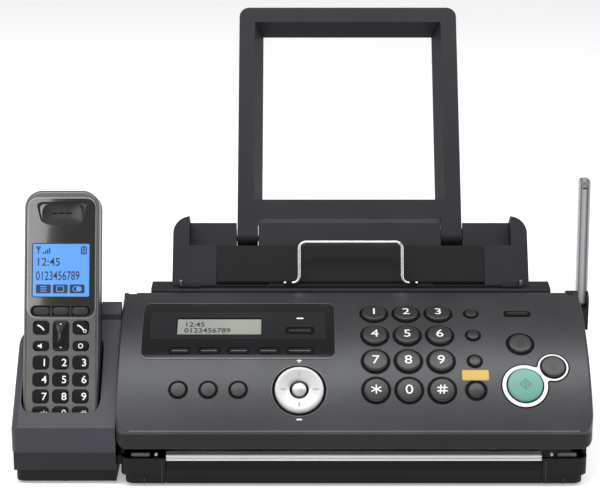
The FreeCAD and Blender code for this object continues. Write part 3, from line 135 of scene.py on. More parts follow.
def by_place(tree, axis, low, high):
    """Share from 0 to 1 along one axis of the object, between two places in metres."""
    split = new_node(tree, "SeparateXYZ")
    node = new_node(tree, "MapRange", From_Min=low, From_Max=high)
    tree.links.new(new_node(tree, "TexCoord").outputs["Object"], split.inputs["Vector"])
    tree.links.new(split.outputs[axis], node.inputs["Value"])
    return node.outputs["Result"]


def bumped(tree, shader, height, depth):
    bump = new_node(tree, "Bump", Strength=1.0, Distance=depth)
    tree.links.new(height, bump.inputs["Height"])
    tree.links.new(bump.outputs["Normal"], shader.inputs["Normal"])


def mottled(tree, colour, mottle):
    """A colour in broad soft patches, darker and lighter by a share of itself."""
    dark = [channel * (1 - mottle) for channel in colour]
    light = [min(1, channel * (1 + mottle)) for channel in colour]
    return ramped(tree, noise(tree, MOTTLE_SCALE), [(0.35, dark), (0.65, light)])


def moulded(name, colour, roughness, grain=1400, depth=0.00005, mottle=0.12, stretch=(1, 1, 1),
            **sockets):
    """Moulded plastic or painted metal: mottled colour, fine grain and uneven gloss."""
    made, tree, shader = material(name, **sockets)
    tree.links.new(mottled(tree, colour, mottle), shader.inputs["Base Color"])
    fine = noise(tree, grain, 2.0, stretch)
    gloss = in_range(tree, fine, roughness * 0.85, min(1, roughness * 1.15))
    tree.links.new(gloss, shader.inputs["Roughness"])
    bumped(tree, shader, fine, depth)
    return made


def two_zone(name, edge, upper_colour, lower_colour, grain, **sockets):
    """Moulded finish in two colours that meet at one height of the object, in metres."""
    made, tree, shader = material(name, **sockets)
    upper, lower = mottled(tree, upper_colour, 0.1), mottled(tree, lower_colour, 0.1)
    mix = new_node(tree, "Mix")
    mix.data_type = "RGBA"
    tree.links.new(by_place(tree, "Z", edge - ZONE_BLUR, edge), mix.inputs["Factor"])
    tree.links.new(lower, mix.inputs["A"])
    tree.links.new(upper, mix.inputs["B"])
    tree.links.new(mix.outputs["Result"], shader.inputs["Base Color"])
    fine = noise(tree, grain, 2.0)
    tree.links.new(in_range(tree, fine, 0.36, 0.48), shader.inputs["Roughness"])
    bumped(tree, shader, fine, 0.00003)
    return made


def board_paint():
    """Green circuit board with pale solder points."""
    made, tree, shader = material("board_green")
    cells = new_node(tree, "TexVoronoi", Scale=190, Randomness=0.45)
    tree.links.new(new_node(tree, "TexCoord").outputs["Object"], cells.inputs["Vector"])
    colour = ramped(tree, cells.outputs["Distance"],
                    [(0.2, (0.42, 0.42, 0.40)), (0.24, (0.018, 0.115, 0.045))])
    tree.links.new(colour, shader.inputs["Base Color"])
    tree.links.new(in_range(tree, noise(tree, 700), 0.32, 0.48), shader.inputs["Roughness"])
    return made


def smoke_blade_painted_highlights():
    """Smoked clear plastic coloured across its width: pale outer edges and a lighter middle that are painted
    highlights, and a dark line inside each edge.
    """
    made, tree, shader = material("smoke_clear", Transmission_Weight=0.35, IOR=1.46)
    low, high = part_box("antenna_blade")
    levels = [(0.04, 0.5), (0.15, 0.46), (0.21, 0.07), (0.31, 0.34), (0.55, 0.48), (0.68, 0.2),
              (0.78, 0.07), (0.86, 0.46), (0.96, 0.5)]
    stops = [(spot, (level, level * 1.02, level * 1.06)) for spot, level in levels]
    tree.links.new(ramped(tree, by_place(tree, "X", low.x, high.x), stops), shader.inputs["Base Color"])
    tree.links.new(in_range(tree, noise(tree, 600), 0.1, 0.2), shader.inputs["Roughness"])
    return made


FINE = {"grain": 2600, "depth": 0.000008}
INKED = {"grain": 2600, "depth": 0.000004}

# Colour, roughness and finish of each moulded slot of the record
FINISHES = {
    "body_black": ((0.0125, 0.0133, 0.0172), 0.5, dict(grain=1900, Specular_IOR_Level=0.22)),
    "key_grey": ((0.016, 0.0162, 0.0178), 0.38, dict(grain=2400, depth=0.00002)),
    "start_green": ((0.11, 0.315, 0.26), 0.34, dict(grain=2200, depth=0.00001, mottle=0.05)),
    "stop_red": ((0.022, 0.0222, 0.024), 0.38, dict(grain=2400, depth=0.00002)),
    "ring_silver": ((0.42, 0.423, 0.427), 0.3, dict(grain=2600, depth=0.00001, mottle=0.04, Metallic=0.45)),
    "gloss_black": ((0.007, 0.0072, 0.0085), 0.1,
                    dict(grain=500, depth=0.000004, Specular_IOR_Level=0.3, Coat_Weight=0.1,
                         Coat_Roughness=0.03)),
    "lcd": ((0.30, 0.32, 0.285), 0.24, dict(grain=900, depth=0.000004, mottle=0.05)),
    "inner_grey": ((0.17, 0.17, 0.18), 0.5, {}),
    "light_grey": ((0.62, 0.63, 0.64), 0.35, dict(grain=1800, mottle=0.05)),
    "wire_steel": ((0.74, 0.74, 0.72), 0.22,
                   dict(grain=900, depth=0.00001, mottle=0.05, stretch=(0.15, 1, 1), Metallic=1.0)),
    "roller_rubber": ((0.02, 0.02, 0.021), 0.7, dict(grain=2200)),
    "film_black": ((0.012, 0.012, 0.014), 0.16, dict(grain=300, depth=0.00002, stretch=(0.1, 1, 1))),
    "heatsink": ((0.6, 0.61, 0.62), 0.3, dict(grain=1500, stretch=(0.08, 1, 1), Metallic=1.0)),
    "handset_silver": ((0.135, 0.134, 0.132), 0.34, dict(grain=2600, depth=0.00002, Metallic=0.75)),
    "foot_rubber": ((0.018, 0.018, 0.018), 0.75, dict(grain=1500)),
}
LOOKS = {name: moulded(name, colour, roughness, **finish)
         for name, (colour, roughness, finish) in FINISHES.items()}
LOOKS["panel_charcoal"] = two_zone("panel_charcoal", FRONT_EDGE_HEIGHT - 1 * MM, (0.05, 0.0515, 0.056),
                                   (0.008, 0.0081, 0.009), 2600, Metallic=0.5)
LOOKS["board_green"] = board_paint()
LOOKS["smoke_clear"] = smoke_blade_painted_highlights()

# Looks of print, trim and single pieces
WHITE_PRINT = moulded("white_print", (0.84, 0.84, 0.84), 0.45, grain=3000, depth=0.000005, mottle=0.03)
WHITE_PLATE = moulded("white_plate", (0.86, 0.865, 0.87), 0.3, grain=2400, depth=0.000008, mottle=0.02)
# Near-black painted shade, laid in the gaps round keys and in holes, slots, recesses and counterbores where shade
# falls
PAINTED_SHADE_BLACK = moulded("painted_shade_black", (0.002, 0.002, 0.0023), 0.6, grain=2400, depth=0.00001,
                     Specular_IOR_Level=0.1)
EDGE_SILVER = moulded("edge_silver", (0.36, 0.365, 0.375), 0.28, mottle=0.05, Metallic=0.8, **FINE)
LENS_GREY = moulded("lens_grey", (0.017, 0.0175, 0.02), 0.14, grain=600, depth=0.000004,
                    Specular_IOR_Level=0.3)
LABEL_YELLOW = moulded("label_yellow", (0.56, 0.36, 0.05), 0.4, mottle=0.04, **FINE)
LABEL_EDGE = moulded("label_edge", (0.45, 0.29, 0.05), 0.4, mottle=0.04, **FINE)
MARK_TEAL = moulded("mark_teal", (0.012, 0.085, 0.066), 0.4, mottle=0.05, **FINE)
MARK_GREY = moulded("mark_grey", (0.30, 0.305, 0.31), 0.4, mottle=0.05, **FINE)
MARK_DARK = moulded("mark_dark", (0.004, 0.0042, 0.005), 0.45, **FINE)
LCD_INK = moulded("lcd_ink", (0.03, 0.035, 0.03), 0.3, **INKED)
BLUE_DISPLAY = moulded("blue_display", (0.06, 0.22, 0.55), 0.2, grain=1600, depth=0.000004, mottle=0.04,
                       Emission_Color=(0.08, 0.29, 0.78, 1), Emission_Strength=0.34)
BLUE_INK = moulded("blue_ink", (0.006, 0.014, 0.05), 0.3, **INKED)
LED_WHITE = moulded("led_white", (0.85, 0.86, 0.85), 0.3, mottle=0.02,
                    Emission_Color=(0.9, 0.9, 0.9, 1), Emission_Strength=0.2, **INKED)
STEEL = moulded("screw_steel", (0.35, 0.35, 0.36), 0.32, grain=1800, depth=0.00002, Metallic=1.0)
BASE_BLACK = moulded("base_black", (0.0045, 0.0048, 0.0058), 0.56, grain=1900, Specular_IOR_Level=0.2)
CRADLE = two_zone("cradle_charcoal", CRADLE_STEP * MM, (0.036, 0.037, 0.047), (0.008, 0.0084, 0.0105),
                  1900, Specular_IOR_Level=0.3)
BAR_SILVER = moulded("bar_silver", (0.72, 0.73, 0.74), 0.3, grain=1500, depth=0.00001, mottle=0.03,
                     stretch=(0.08, 1, 1), Metallic=0.3)
HANDSET_GLASS = moulded("handset_glass", (0.006, 0.0062, 0.0072), 0.06, grain=500, depth=0.000003,
                        Coat_Weight=1.0, Coat_Roughness=0.03)
# Lighter grey on raised edges, rims and lines: painted highlight where those edges catch the light
EDGE_HIGHLIGHT_GREY = moulded("crease_edge", (0.13, 0.132, 0.14), 0.34, mottle=0.05, Metallic=0.6, **FINE)
GOLD = moulded("contact_gold", (0.72, 0.50, 0.16), 0.28, grain=1800, depth=0.00001, Metallic=1.0)

# Pieces that look other than their slot
OTHER_LOOKS = {
    "bottom_chassis": BASE_BLACK, "exit_cover": BASE_BLACK, "cradle_base": BASE_BLACK,
    "tension_plate": BASE_BLACK, "cradle_housing": CRADLE, "handset_window": HANDSET_GLASS,
    "document_guide_left": LOOKS["key_grey"], "document_guide_right": LOOKS["key_grey"],
}

for node, slot_name in SLOTS.items():
    held = NODES[node].data.materials
    held.clear()
    held.append(OTHER_LOOKS.get(node, LOOKS[slot_name]))


# Shapes made in code

class Shape:
    """Points and faces of one piece, each face with the number of its material."""

    def __init__(self):
        self.points, self.faces, self.marks = [], [], []

    def add(self, points, faces, mark=0):
        base = len(self.points)
        self.points += [tuple(point) for point in points]
        self.faces += [[base + i for i in face] for face in faces]
        self.marks += [mark] * len(faces)

    def make(self, name, body, looks, slot, stands_for=None, angle=35):
        mesh = bpy.data.meshes.new(name)
        mesh.from_pydata(self.points, [], self.faces)
        for look in looks:
            mesh.materials.append(look)
        mesh.polygons.foreach_set("material_index", self.marks)
        mesh.shade_smooth()
        mesh.set_sharp_from_angle(angle=math.radians(angle))
        made = bpy.data.objects.new(name, mesh)
        bpy.context.collection.objects.link(made)
        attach(made, body)
        if stands_for:
            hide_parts(stands_for)


def circle(radius, count=48, middle=(0, 0)):
    return [(middle[0] + radius * math.cos(2 * math.pi * i / count),
             middle[1] + radius * math.sin(2 * math.pi * i / count)) for i in range(count)]


def rounded(width, height, corners, middle=(0, 0)):
    """Anticlockwise outline of a rectangle; corners are the radii from the lower left, anticlockwise."""
    if not isinstance(corners, (list, tuple)):
        corners = [corners] * 4
    turns = ((-1, -1, 180), (1, -1, 270), (1, 1, 0), (-1, 1, 90))
    points = []
    for (sx, sy, start), radius in zip(turns, corners):
        cx = middle[0] + sx * (width / 2 - radius)
        cy = middle[1] + sy * (height / 2 - radius)
        for i in range(CORNER_STEPS + 1):
            angle = math.radians(start + 90 * i / CORNER_STEPS)
            points.append((cx + radius * math.cos(angle), cy + radius * math.sin(angle)))
    return points


def dense(outline, spacing):
    """The same closed outline with points no further apart than spacing."""
    points = []
    for (x0, y0), (x1, y1) in zip(outline, outline[1:] + outline[:1]):
        parts = max(1, math.ceil(math.hypot(x1 - x0, y1 - y0) / spacing))
        points += [(x0 + (x1 - x0) * i / parts, y0 + (y1 - y0) * i / parts) for i in range(parts)]
    return points


def inset(outline, amount):
    """Outline moved inward along its own normals."""
    moved = []
    count = len(outline)
    for i, (x, y) in enumerate(outline):
        ax, ay = outline[i - 1]
        bx, by = outline[(i + 1) % count]
        nx, ny = -(by - ay), bx - ax
        length = math.hypot(nx, ny) or 1
        moved.append((x + nx / length * amount, y + ny / length * amount))
    return moved


def quarter(inward, upward, steps):
    """Steps (inward, upward) along a quarter round, from its side to its top."""
    angles = [math.radians(90 * i / steps) for i in range(1, steps + 1)]
    return [(inward * (1 - math.cos(angle)), upward * math.sin(angle)) for angle in angles]


def band(rings, count):
    """Faces between closed rings of points that follow each other, all of one count."""
    faces = []
    for level in range(rings - 1):
        a, b = level * count, (level + 1) * count
        for i in range(count):
            j = (i + 1) % count
            faces.append([a + i, a + j, b + j, b + i])
    return faces


def lathe(shape, place, profile, count=48, mark=0):
    """Turned solid about the outward axis; profile runs from the foot to the middle of the top, in mm."""
    points, faces = [], []
    rings = []
    for radius, height in profile:
        start = len(points)
        if radius == 0:
            points.append(place(0, 0, height))
            rings.append([start] * count)
        else:
            points += [place(x, y, height) for x, y in circle(radius, count)]
            rings.append([start + i for i in range(count)])
    for low, high in zip(rings, rings[1:]):
        for i in range(count):
            j = (i + 1) % count
            face = [low[i], low[j], high[j], high[i]]
            faces.append(list(dict.fromkeys(face)))
    shape.add(points, faces, mark)


def loft(shape, place, sections, mark=0):
    """Skin through outlines of equal count, each with its height, closed at the top, in mm."""
    count = len(sections[0][0])
    points = [place(x, y, height) for outline, height in sections for x, y in outline]
    top = (len(sections) - 1) * count
    shape.add(points, band(len(sections), count) + [[top + i for i in range(count)]], mark)


def pillow(shape, place, outline, low, high, bevel, crown=0.0, mark=0):
    """Key cap over an outline: straight sides, a rounded edge and a top that may be crowned, in mm."""
    sections = [(outline, low), (outline, high - bevel)]
    for inward, upward in quarter(bevel, bevel, 4):
        sections.append((inset(outline, inward), high - bevel + upward))
    if crown:
        edge = sections[-1][0]
        mx, my = [sum(point[k] for point in outline) / len(outline) for k in (0, 1)]
        for share in (0.5, 0.9):
            sections.append(([(x + (mx - x) * share, y + (my - y) * share) for x, y in edge],
                             high + crown * (1 - (1 - share) ** 2)))
    loft(shape, place, sections, mark)


def plate(shape, place, rings, low, high, mark=0):
    """Thin plate over an outline with holes, each ring a list of points, in mm."""
    flat = [point for ring in rings for point in ring]
    from_rings = [[Vector((x, y, 0)) for x, y in ring] for ring in rings]
    faces = []
    for a, b, c in tessellate_polygon(from_rings):
        (ax, ay), (bx, by), (cx, cy) = flat[a], flat[b], flat[c]
        turn = (bx - ax) * (cy - ay) - (by - ay) * (cx - ax)
        faces.append([a, b, c] if turn > 0 else [a, c, b])
    points = [place(x, y, high) for x, y in flat] + [place(x, y, low) for x, y in flat]
    start = 0
    for ring in rings:
        count = len(ring)
        area = sum(x0 * y1 - x1 * y0 for (x0, y0), (x1, y1) in zip(ring, ring[1:] + ring[:1]))
        outer = ring is rings[0]
        for i in range(count):
            j = (i + 1) % count
            side = [start + i, start + i + len(flat), start + j + len(flat), start + j]
            faces.append(side if (area > 0) == outer else side[::-1])
        start += count
    shape.add(points, faces, mark)


def bead(shape, place, outline, section, mark=0):
    """Strip along a closed outline; section lists (outward offset, height), outside first, in mm."""
    points = [place(x, y, height) for offset, height in section for x, y in inset(outline, -offset)]
    shape.add(points, band(len(section), len(outline)), mark)


def glyphs(text, height, weight=0.0, wide=1.0, align="CENTER"):
    """Points and faces of digits or signs, middle at the origin, in mm."""
    curve = bpy.data.curves.new("digits", "FONT")
    curve.body = text
    curve.align_x = align
    curve.size = FONT_SIZE
    curve.offset = weight
    curve.resolution_u = 6
    holder = bpy.data.objects.new("digits", curve)
    mesh = bpy.data.meshes.new_from_object(holder)
    points = [(point.co.x * wide * height / DIGIT_HEIGHT,
               (point.co.y - DIGIT_MIDDLE) * height / DIGIT_HEIGHT) for point in mesh.vertices]
    faces = [list(face.vertices) if face.normal.z > 0 else list(face.vertices)[::-1]
             for face in mesh.polygons]
    bpy.data.objects.remove(holder)
    bpy.data.curves.remove(curve)
    bpy.data.meshes.remove(mesh)
    return points, faces


# The font's own digit height and middle, measured once
DIGIT_HEIGHT, DIGIT_MIDDLE = 1.0, 0.0
measured = [point[1] for point in glyphs("0", 1.0)[0]]
DIGIT_HEIGHT, DIGIT_MIDDLE = max(measured) - min(measured), (max(measured) + min(measured)) / 2


def write(shape, place, text, height, at=(0, 0), lift=0.0, weight=0.0, wide=1.0, mark=0,
          align="CENTER"):
    points, faces = glyphs(text, height, weight, wide, align)
    shape.add([place(at[0] + x, at[1] + y, lift) for x, y in points], faces, mark)


def stroke(shape, place, path, width, lift, mark=0):
    """Flat line of even width along points, in mm, with square ends."""
    for (x0, y0), (x1, y1) in zip(path, path[1:]):
        length = math.hypot(x1 - x0, y1 - y0)
        nx, ny = -(y1 - y0) / length * width / 2, (x1 - x0) / length * width / 2
        corners = [(x0 - nx, y0 - ny), (x1 - nx, y1 - ny), (x1 + nx, y1 + ny), (x0 + nx, y0 + ny)]
        shape.add([place(x, y, lift) for x, y in corners], [[0, 1, 2, 3]], mark)


# Places on the panel, on keys and on the handset

def panel_point(x, arc, lift=0.0):
    """Point over the panel: x from the body's middle, arc from the front edge, height outward, in mm."""
    tilt = FRONT_TILT - arc * MM / PANEL_RADIUS
    reach = PANEL_RADIUS + lift * MM
    return Vector((BODY_MIDDLE_X + x * MM, ARC_Y - reach * math.sin(tilt), ARC_Z + reach * math.cos(tilt)))


def panel_at(x, arc):
    return lambda u, v, lift: panel_point(x + u, arc + v, lift)


def key_spot(key):
    """x and arc of a key's middle on the panel, in mm."""
    low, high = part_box(key)
    axis = JOINTS[key + "_press"]["axis"]
    tilt = math.atan2(axis[1], -axis[2])
    return ((low.x + high.x) / 2 - BODY_MIDDLE_X) / MM, (FRONT_TILT - tilt) * PANEL_RADIUS / MM


def key_place(x, arc):
    """Flat frame on the panel: u to the right, v up the panel, height outward, in mm."""
    tilt = FRONT_TILT - arc * MM / PANEL_RADIUS
    origin = panel_point(x, arc)
    up = Vector((0, math.cos(tilt), math.sin(tilt)))
    out = Vector((0, -math.sin(tilt), math.cos(tilt)))
    return lambda u, v, height: origin + Vector((u * MM, 0, 0)) + up * (v * MM) + out * (height * MM)


HANDSET_LEAN = math.atan2(JOINTS["handset_lift"]["axis"][1], JOINTS["handset_lift"]["axis"][2])
HANDSET_FOOT = Vector((BODY_MIDDLE_X - 185.6 * MM, FRONT_Y + 11.4 * MM, 30.1 * MM))
HANDSET_UP = Vector((0, math.sin(HANDSET_LEAN), math.cos(HANDSET_LEAN)))
HANDSET_OUT = Vector((0, -math.cos(HANDSET_LEAN), math.sin(HANDSET_LEAN)))


def on_handset(u, v, height):
    """Point over the handset's face: u to the right, v up from its foot, height outward, in mm."""
    return HANDSET_FOOT + Vector((u * MM, 0, 0)) + HANDSET_UP * (v * MM) + HANDSET_OUT * (height * MM)


def cap_profile(radius, rise, bevel, crown, foot):
    """Profile of a round cap: straight side, rounded edge and crowned top, in mm."""
    points = [(radius, foot), (radius, rise - bevel)]
    points += [(radius - inward, rise - bevel + upward) for inward, upward in quarter(bevel, bevel, 5)]
    top = radius - bevel
    return points + [(top * share, rise + crown * (1 - share ** 2)) for share in (0.75, 0.5, 0.25, 0)]


# Keys of the panel

DIAL = {"dial_key_" + digit: digit for digit in "0123456789"}
DIAL.update({"dial_key_star": "*", "dial_key_hash": "#"})
# Radius, rise, bevel and crown of each round cap, in mm
ROUND_KEYS = {key: (8.0, 2.0, 1.5, 0.25) for key in DIAL}
ROUND_KEYS.update({key: (3.75, 1.3, 0.8, 0.25) for key in ("mute_key", "flash_key", "redial_key")})
ROUND_KEYS.update({key: (4.8, 1.3, 0.7, 0.2) for key in ("locator_key", "report_key", "menu_key")})
ROUND_KEYS.update({"speakerphone_key": (5.3, 1.3, 1.3, 0.3), "stop_key": (7.3, 1.3, 1.0, 0.2),
                   "copy_key": (7.6, 2.0, 1.0, 0.2), "start_key": (11.1, 2.4, 1.1, 0.35),
                   "set_key": (4.6, 1.6, 0.9, 0.5)})
# Width of each bar key, in mm
BAR_KEYS = {"record_key": 13.0, "check_key": 13.0, "memo_key": 13.0, "erase_key": 13.0,
            "playback_key": 16.6, "auto_answer_key": 16.6, "caller_list_key": 15.6}
BAR_DEPTH, BAR_RISE, BAR_ROLL = 4.6, 1.3, 1.0
PRINT_GAP = 0.02
TICK_FROM, TICK_TO, TICK_HALF = 8.8, 12.0, 0.5


def star_sign(shape, place, lift, mark):
    """Six-armed star in strokes, as on a dial."""
    for turn in range(3):
        angle = math.radians(60 * turn + 90)
        x, y = 3.6 * math.cos(angle), 3.1 * math.sin(angle)
        stroke(shape, place, [(-x, -y), (x, y)], 0.8, lift + 0.002 * turn, mark)


def hash_sign(shape, place, lift, mark):
    for shift in (-1.15, 1.15):
        stroke(shape, place, [(shift - 0.35, -3.1), (shift + 0.35, 3.1)], 0.85, lift, mark)
        stroke(shape, place, [(-3.3, shift), (3.3, shift)], 0.85, lift + 0.002, mark)


def start_sign(shape, place, lift, mark):
    """Upright diamond with a bar in it."""
    stroke(shape, place, [(0, -3.3), (3.3, 0), (0, 3.3), (-3.3, 0), (0, -3.3)], 0.42, lift, mark)
    bead(shape, place, dense(rounded(0.9, 2.9, 0.44), 0.4), [(0.16, lift), (-0.16, lift)], mark)


def stop_sign(shape, place, lift, mark):
    bead(shape, place, circle(1.7, 32, (0, 0.6)), [(0.25, lift), (-0.25, lift)], mark)
    stroke(shape, place, [(-0.9, -0.3), (0.9, 1.5)], 0.45, lift, mark)
    stroke(shape, place, [(-2.3, -2.4), (2.3, -2.4)], 0.6, lift, mark)


def copy_sign(shape, place, lift, mark):
    for shift in ((-0.7, 0.7), (0.8, -0.8)):
        bead(shape, place, dense(rounded(3.2, 3.8, 0.3, shift), 0.6), [(0.2, lift), (-0.2, lift)], mark)


def dial_sign(shape, place, sign, height, lift, drawn_scale=1.0, **style):
    """Digit, star or hash on a key; star and hash are drawn, at a scale of their own."""
    drawn = {"*": star_sign, "#": hash_sign}.get(sign)
    if drawn:
        drawn(shape, lambda u, v, h: place(u * drawn_scale, v * drawn_scale, h), lift, 1)
    else:
        write(shape, place, sign, height, (0, 0), lift, mark=1, **style)


KEY_SIGNS = {"start_key": (start_sign, MARK_TEAL), "stop_key": (stop_sign, MARK_DARK),
             "copy_key": (copy_sign, MARK_DARK)}


def round_key(key):
    """Turned cap with its digit or sign."""
    radius, rise, bevel, crown = ROUND_KEYS[key]
    place = key_place(*key_spot(key))
    shape = Shape()
    foot = -4.0 if key in ("set_key", "start_key") else -2.2
    lathe(shape, place, cap_profile(radius, rise, bevel, crown, foot), 64 if radius > 7 else 40)
    lift = rise + crown + PRINT_GAP
    sign, ink = KEY_SIGNS.get(key, (None, WHITE_PRINT))
    if key in DIAL:
        dial_sign(shape, place, DIAL[key], 6.2, lift, wide=1.2)
    elif sign:
        sign(shape, place, lift, 1)
    look = LOOKS["ring_silver"] if key == "set_key" else LOOKS[SLOTS[key]]
    shape.make(key + "_cap", key, [look, ink], SLOTS[key], key)


def bar_outline(key, spacing):
    return dense(rounded(BAR_KEYS[key], BAR_DEPTH, 0.9), spacing)


def bar_key(key):
    """Dark bar with rolled edges and a fine paler line along it, a painted highlight."""
    place = key_place(*key_spot(key))
    shape = Shape()
    outline = bar_outline(key, 1.5)
    side = BAR_RISE - BAR_ROLL
    sections = [(outline, -2.0), (outline, side)]
    sections += [(inset(outline, inward), side + upward) for inward, upward in quarter(1.4, BAR_ROLL, 5)]
    loft(shape, place, sections)
    # Paler line near the lower edge: painted highlight
    line = rounded(BAR_KEYS[key] - 3.2, 0.4, 0.15, (0, -0.5))
    plate(shape, place, [line], BAR_RISE - 0.2, BAR_RISE + 0.06, 1)
    shape.make(key + "_cap", key, [BASE_BLACK, EDGE_HIGHLIGHT_GREY], SLOTS[key], key)


for key in ROUND_KEYS:
    round_key(key)
for key in BAR_KEYS:
    bar_key(key)


def navigation_ring():
    """Dished ring with four ticks on it."""
    place = key_place(*key_spot("set_key"))
    shape = Shape()
    profile = [(RING_RADIUS, -3.0), (RING_RADIUS, 0.6)]
    profile += [(RING_RADIUS - inward, 0.6 + upward) for inward, upward in quarter(1.0, 1.0, 5)]
    profile += [(12.5, 1.45), (10.0, 1.28), (8.0, 1.15), (6.6, 1.0), (6.15, 0.8), (6.0, 0.4), (6.0, -3.0)]
    lathe(shape, place, profile, 96)
    for turn in range(4):
        angle = math.radians(90 * turn)
        c, s = math.cos(angle), math.sin(angle)
        corners = [(TICK_FROM, TICK_HALF), (TICK_FROM, -TICK_HALF), (TICK_TO, -TICK_HALF),
                   (TICK_TO, TICK_HALF)]
        bar = [(along * c - side * s, along * s + side * c) for along, side in corners]
        shape.add([place(u, v, 1.25 + 0.03 * math.hypot(u, v) - 0.16) for u, v in bar], [[0, 1, 2, 3]], 1)
    shape.make("navigation_ring_dished", "navigation", [LOOKS["ring_silver"], MARK_GREY], "ring_silver",
               "navigation_ring")


navigation_ring()


# Print, painted shade round the keys, and trim on the panel

def key_shade_rings():
    """Painted shade round the keys: dark rims drawn on the panel and down into the gaps, with a fine lip in the
    panel's colour.
    """
    shape = Shape()
    widths = {"speakerphone_key": 1.9, "stop_key": 1.9, "start_key": 0.9, "copy_key": 0.9, "set_key": 0}
    in_surround = ("start_key", "copy_key")
    for key, (radius, *_) in ROUND_KEYS.items():
        width = widths.get(key, 1.5)
        if width:
            place = panel_at(*key_spot(key))
            height = 0.55 if key in in_surround else 0.08
            bead(shape, place, circle(radius, 56),
                 [(width, height - 0.08), (width, height), (0.2, height), (0.2, -0.6)])
            if key not in in_surround:
                bead(shape, place, circle(radius + width, 56),
                     [(0.28, 0.0), (0.16, 0.1), (0.0, 0.1), (-0.08, 0.05)], 1)
    # Painted shade round the navigation ring and round the caller list key
    bead(shape, panel_at(*key_spot("set_key")), circle(RING_RADIUS, 96),
         [(1.7, 0.02), (1.7, 0.08), (0.7, 0.08), (0.7, -0.6)])
    bead(shape, panel_at(*key_spot("caller_list_key")), bar_outline("caller_list_key", 1.2),
         [(0.9, 0.0), (0.9, 0.08), (0.1, 0.08), (0.1, -0.6)])
    shape.make("key_shade_rings", "cover", [PAINTED_SHADE_BLACK, LOOKS["panel_charcoal"]], "key_grey")


def ring_rim():
    """Raised rim round the navigation ring's well, in a lighter grey that is a painted highlight."""
    shape = Shape()
    section = [(2.35, 0.0), (2.3, 0.22), (2.1, 0.36), (1.85, 0.36), (1.68, 0.2), (1.64, 0.0)]
    bead(shape, panel_at(*key_spot("set_key")), circle(RING_RADIUS, 96), section)
    shape.make("ring_rim", "cover", [EDGE_HIGHLIGHT_GREY], "ring_silver")


def surround():
    """White plate round the start and copy keys: two rounds joined by a soft neck."""
    start_round, copy_round = 14.35, 9.65
    neck_at, neck_reach, neck_fill = 13.6, 3.2, 0.8
    count, halvings = 220, 40
    x, arc = key_spot("start_key")
    cx, carc = key_spot("copy_key")
    bend = (cx - x, carc - arc)
    reach = math.hypot(*bend)
    middle = (bend[0] * neck_at / reach, bend[1] * neck_at / reach)

    def distance(u, v):
        big = math.hypot(u, v) - start_round
        small = math.hypot(u - bend[0], v - bend[1]) - copy_round
        blend = max(0.0, 1 - abs(big - small) / neck_reach)
        return min(big, small) - blend * blend * neck_fill

    outline = []
    for i in range(count):
        angle = 2 * math.pi * i / count
        low, high = 0.0, 40.0
        for _ in range(halvings):
            trial = (low + high) / 2
            if distance(middle[0] + trial * math.cos(angle), middle[1] + trial * math.sin(angle)) < 0:
                low = trial
            else:
                high = trial
        outline.append((middle[0] + low * math.cos(angle), middle[1] + low * math.sin(angle)))
    shape = Shape()
    place = panel_at(x, arc)
    rings = [inset(outline, 0.3), circle(12.0, 72)[::-1], circle(8.5, 56, bend)[::-1]]
    plate(shape, place, rings, 0.1, 0.5)
    bead(shape, place, outline, [(0.0, -0.05), (0.0, 0.3), (-0.1, 0.44), (-0.3, 0.5)])
    # Dark band round the outside of the plate: painted shade at its edge
    bead(shape, place, outline, [(0.9, 0.04), (0.0, 0.05)], 1)
    shape.make("start_surround", "cover", [WHITE_PLATE, PAINTED_SHADE_BLACK], "ring_silver", angle=50)


def panel_print():
    """Yellow label, and plus and minus by the ring."""
    label_row, plus_row, minus_row = 37.6, 48.2, 7.9
    shape = Shape()
    label = panel_at(key_spot("speakerphone_key")[0], label_row)
    outline = dense(rounded(17.0, 7.4, 0.9), 1.5)
    plate(shape, label, [outline], 0.0, 0.12, 2)
    plate(shape, label, [inset(outline, 0.45)], 0.05, 0.16, 1)
    x = key_spot("set_key")[0]
    stroke(shape, panel_at(x, plus_row), [(-1.5, 0), (1.5, 0)], 0.75, 0.06)
    stroke(shape, panel_at(x, plus_row), [(0, -1.5), (0, 1.5)], 0.75, 0.065)
    stroke(shape, panel_at(x, minus_row), [(-1.7, 0), (1.7, 0)], 0.9, 0.06)
    shape.make("panel_print", "cover", [WHITE_PRINT, LABEL_YELLOW, LABEL_EDGE], "light_grey")


def rows_patch(shape, place, rows, mark=0):
    """Sheet over a curved face from rows of (v, left u, right u, height), in mm."""
    points = []
    for v, left, right, height in rows:
        points += [place(left, v, height), place(right, v, height)]
    faces = [[2 * i, 2 * i + 1, 2 * i + 3, 2 * i + 2] for i in range(len(rows) - 1)]
    shape.add(points, faces, mark)


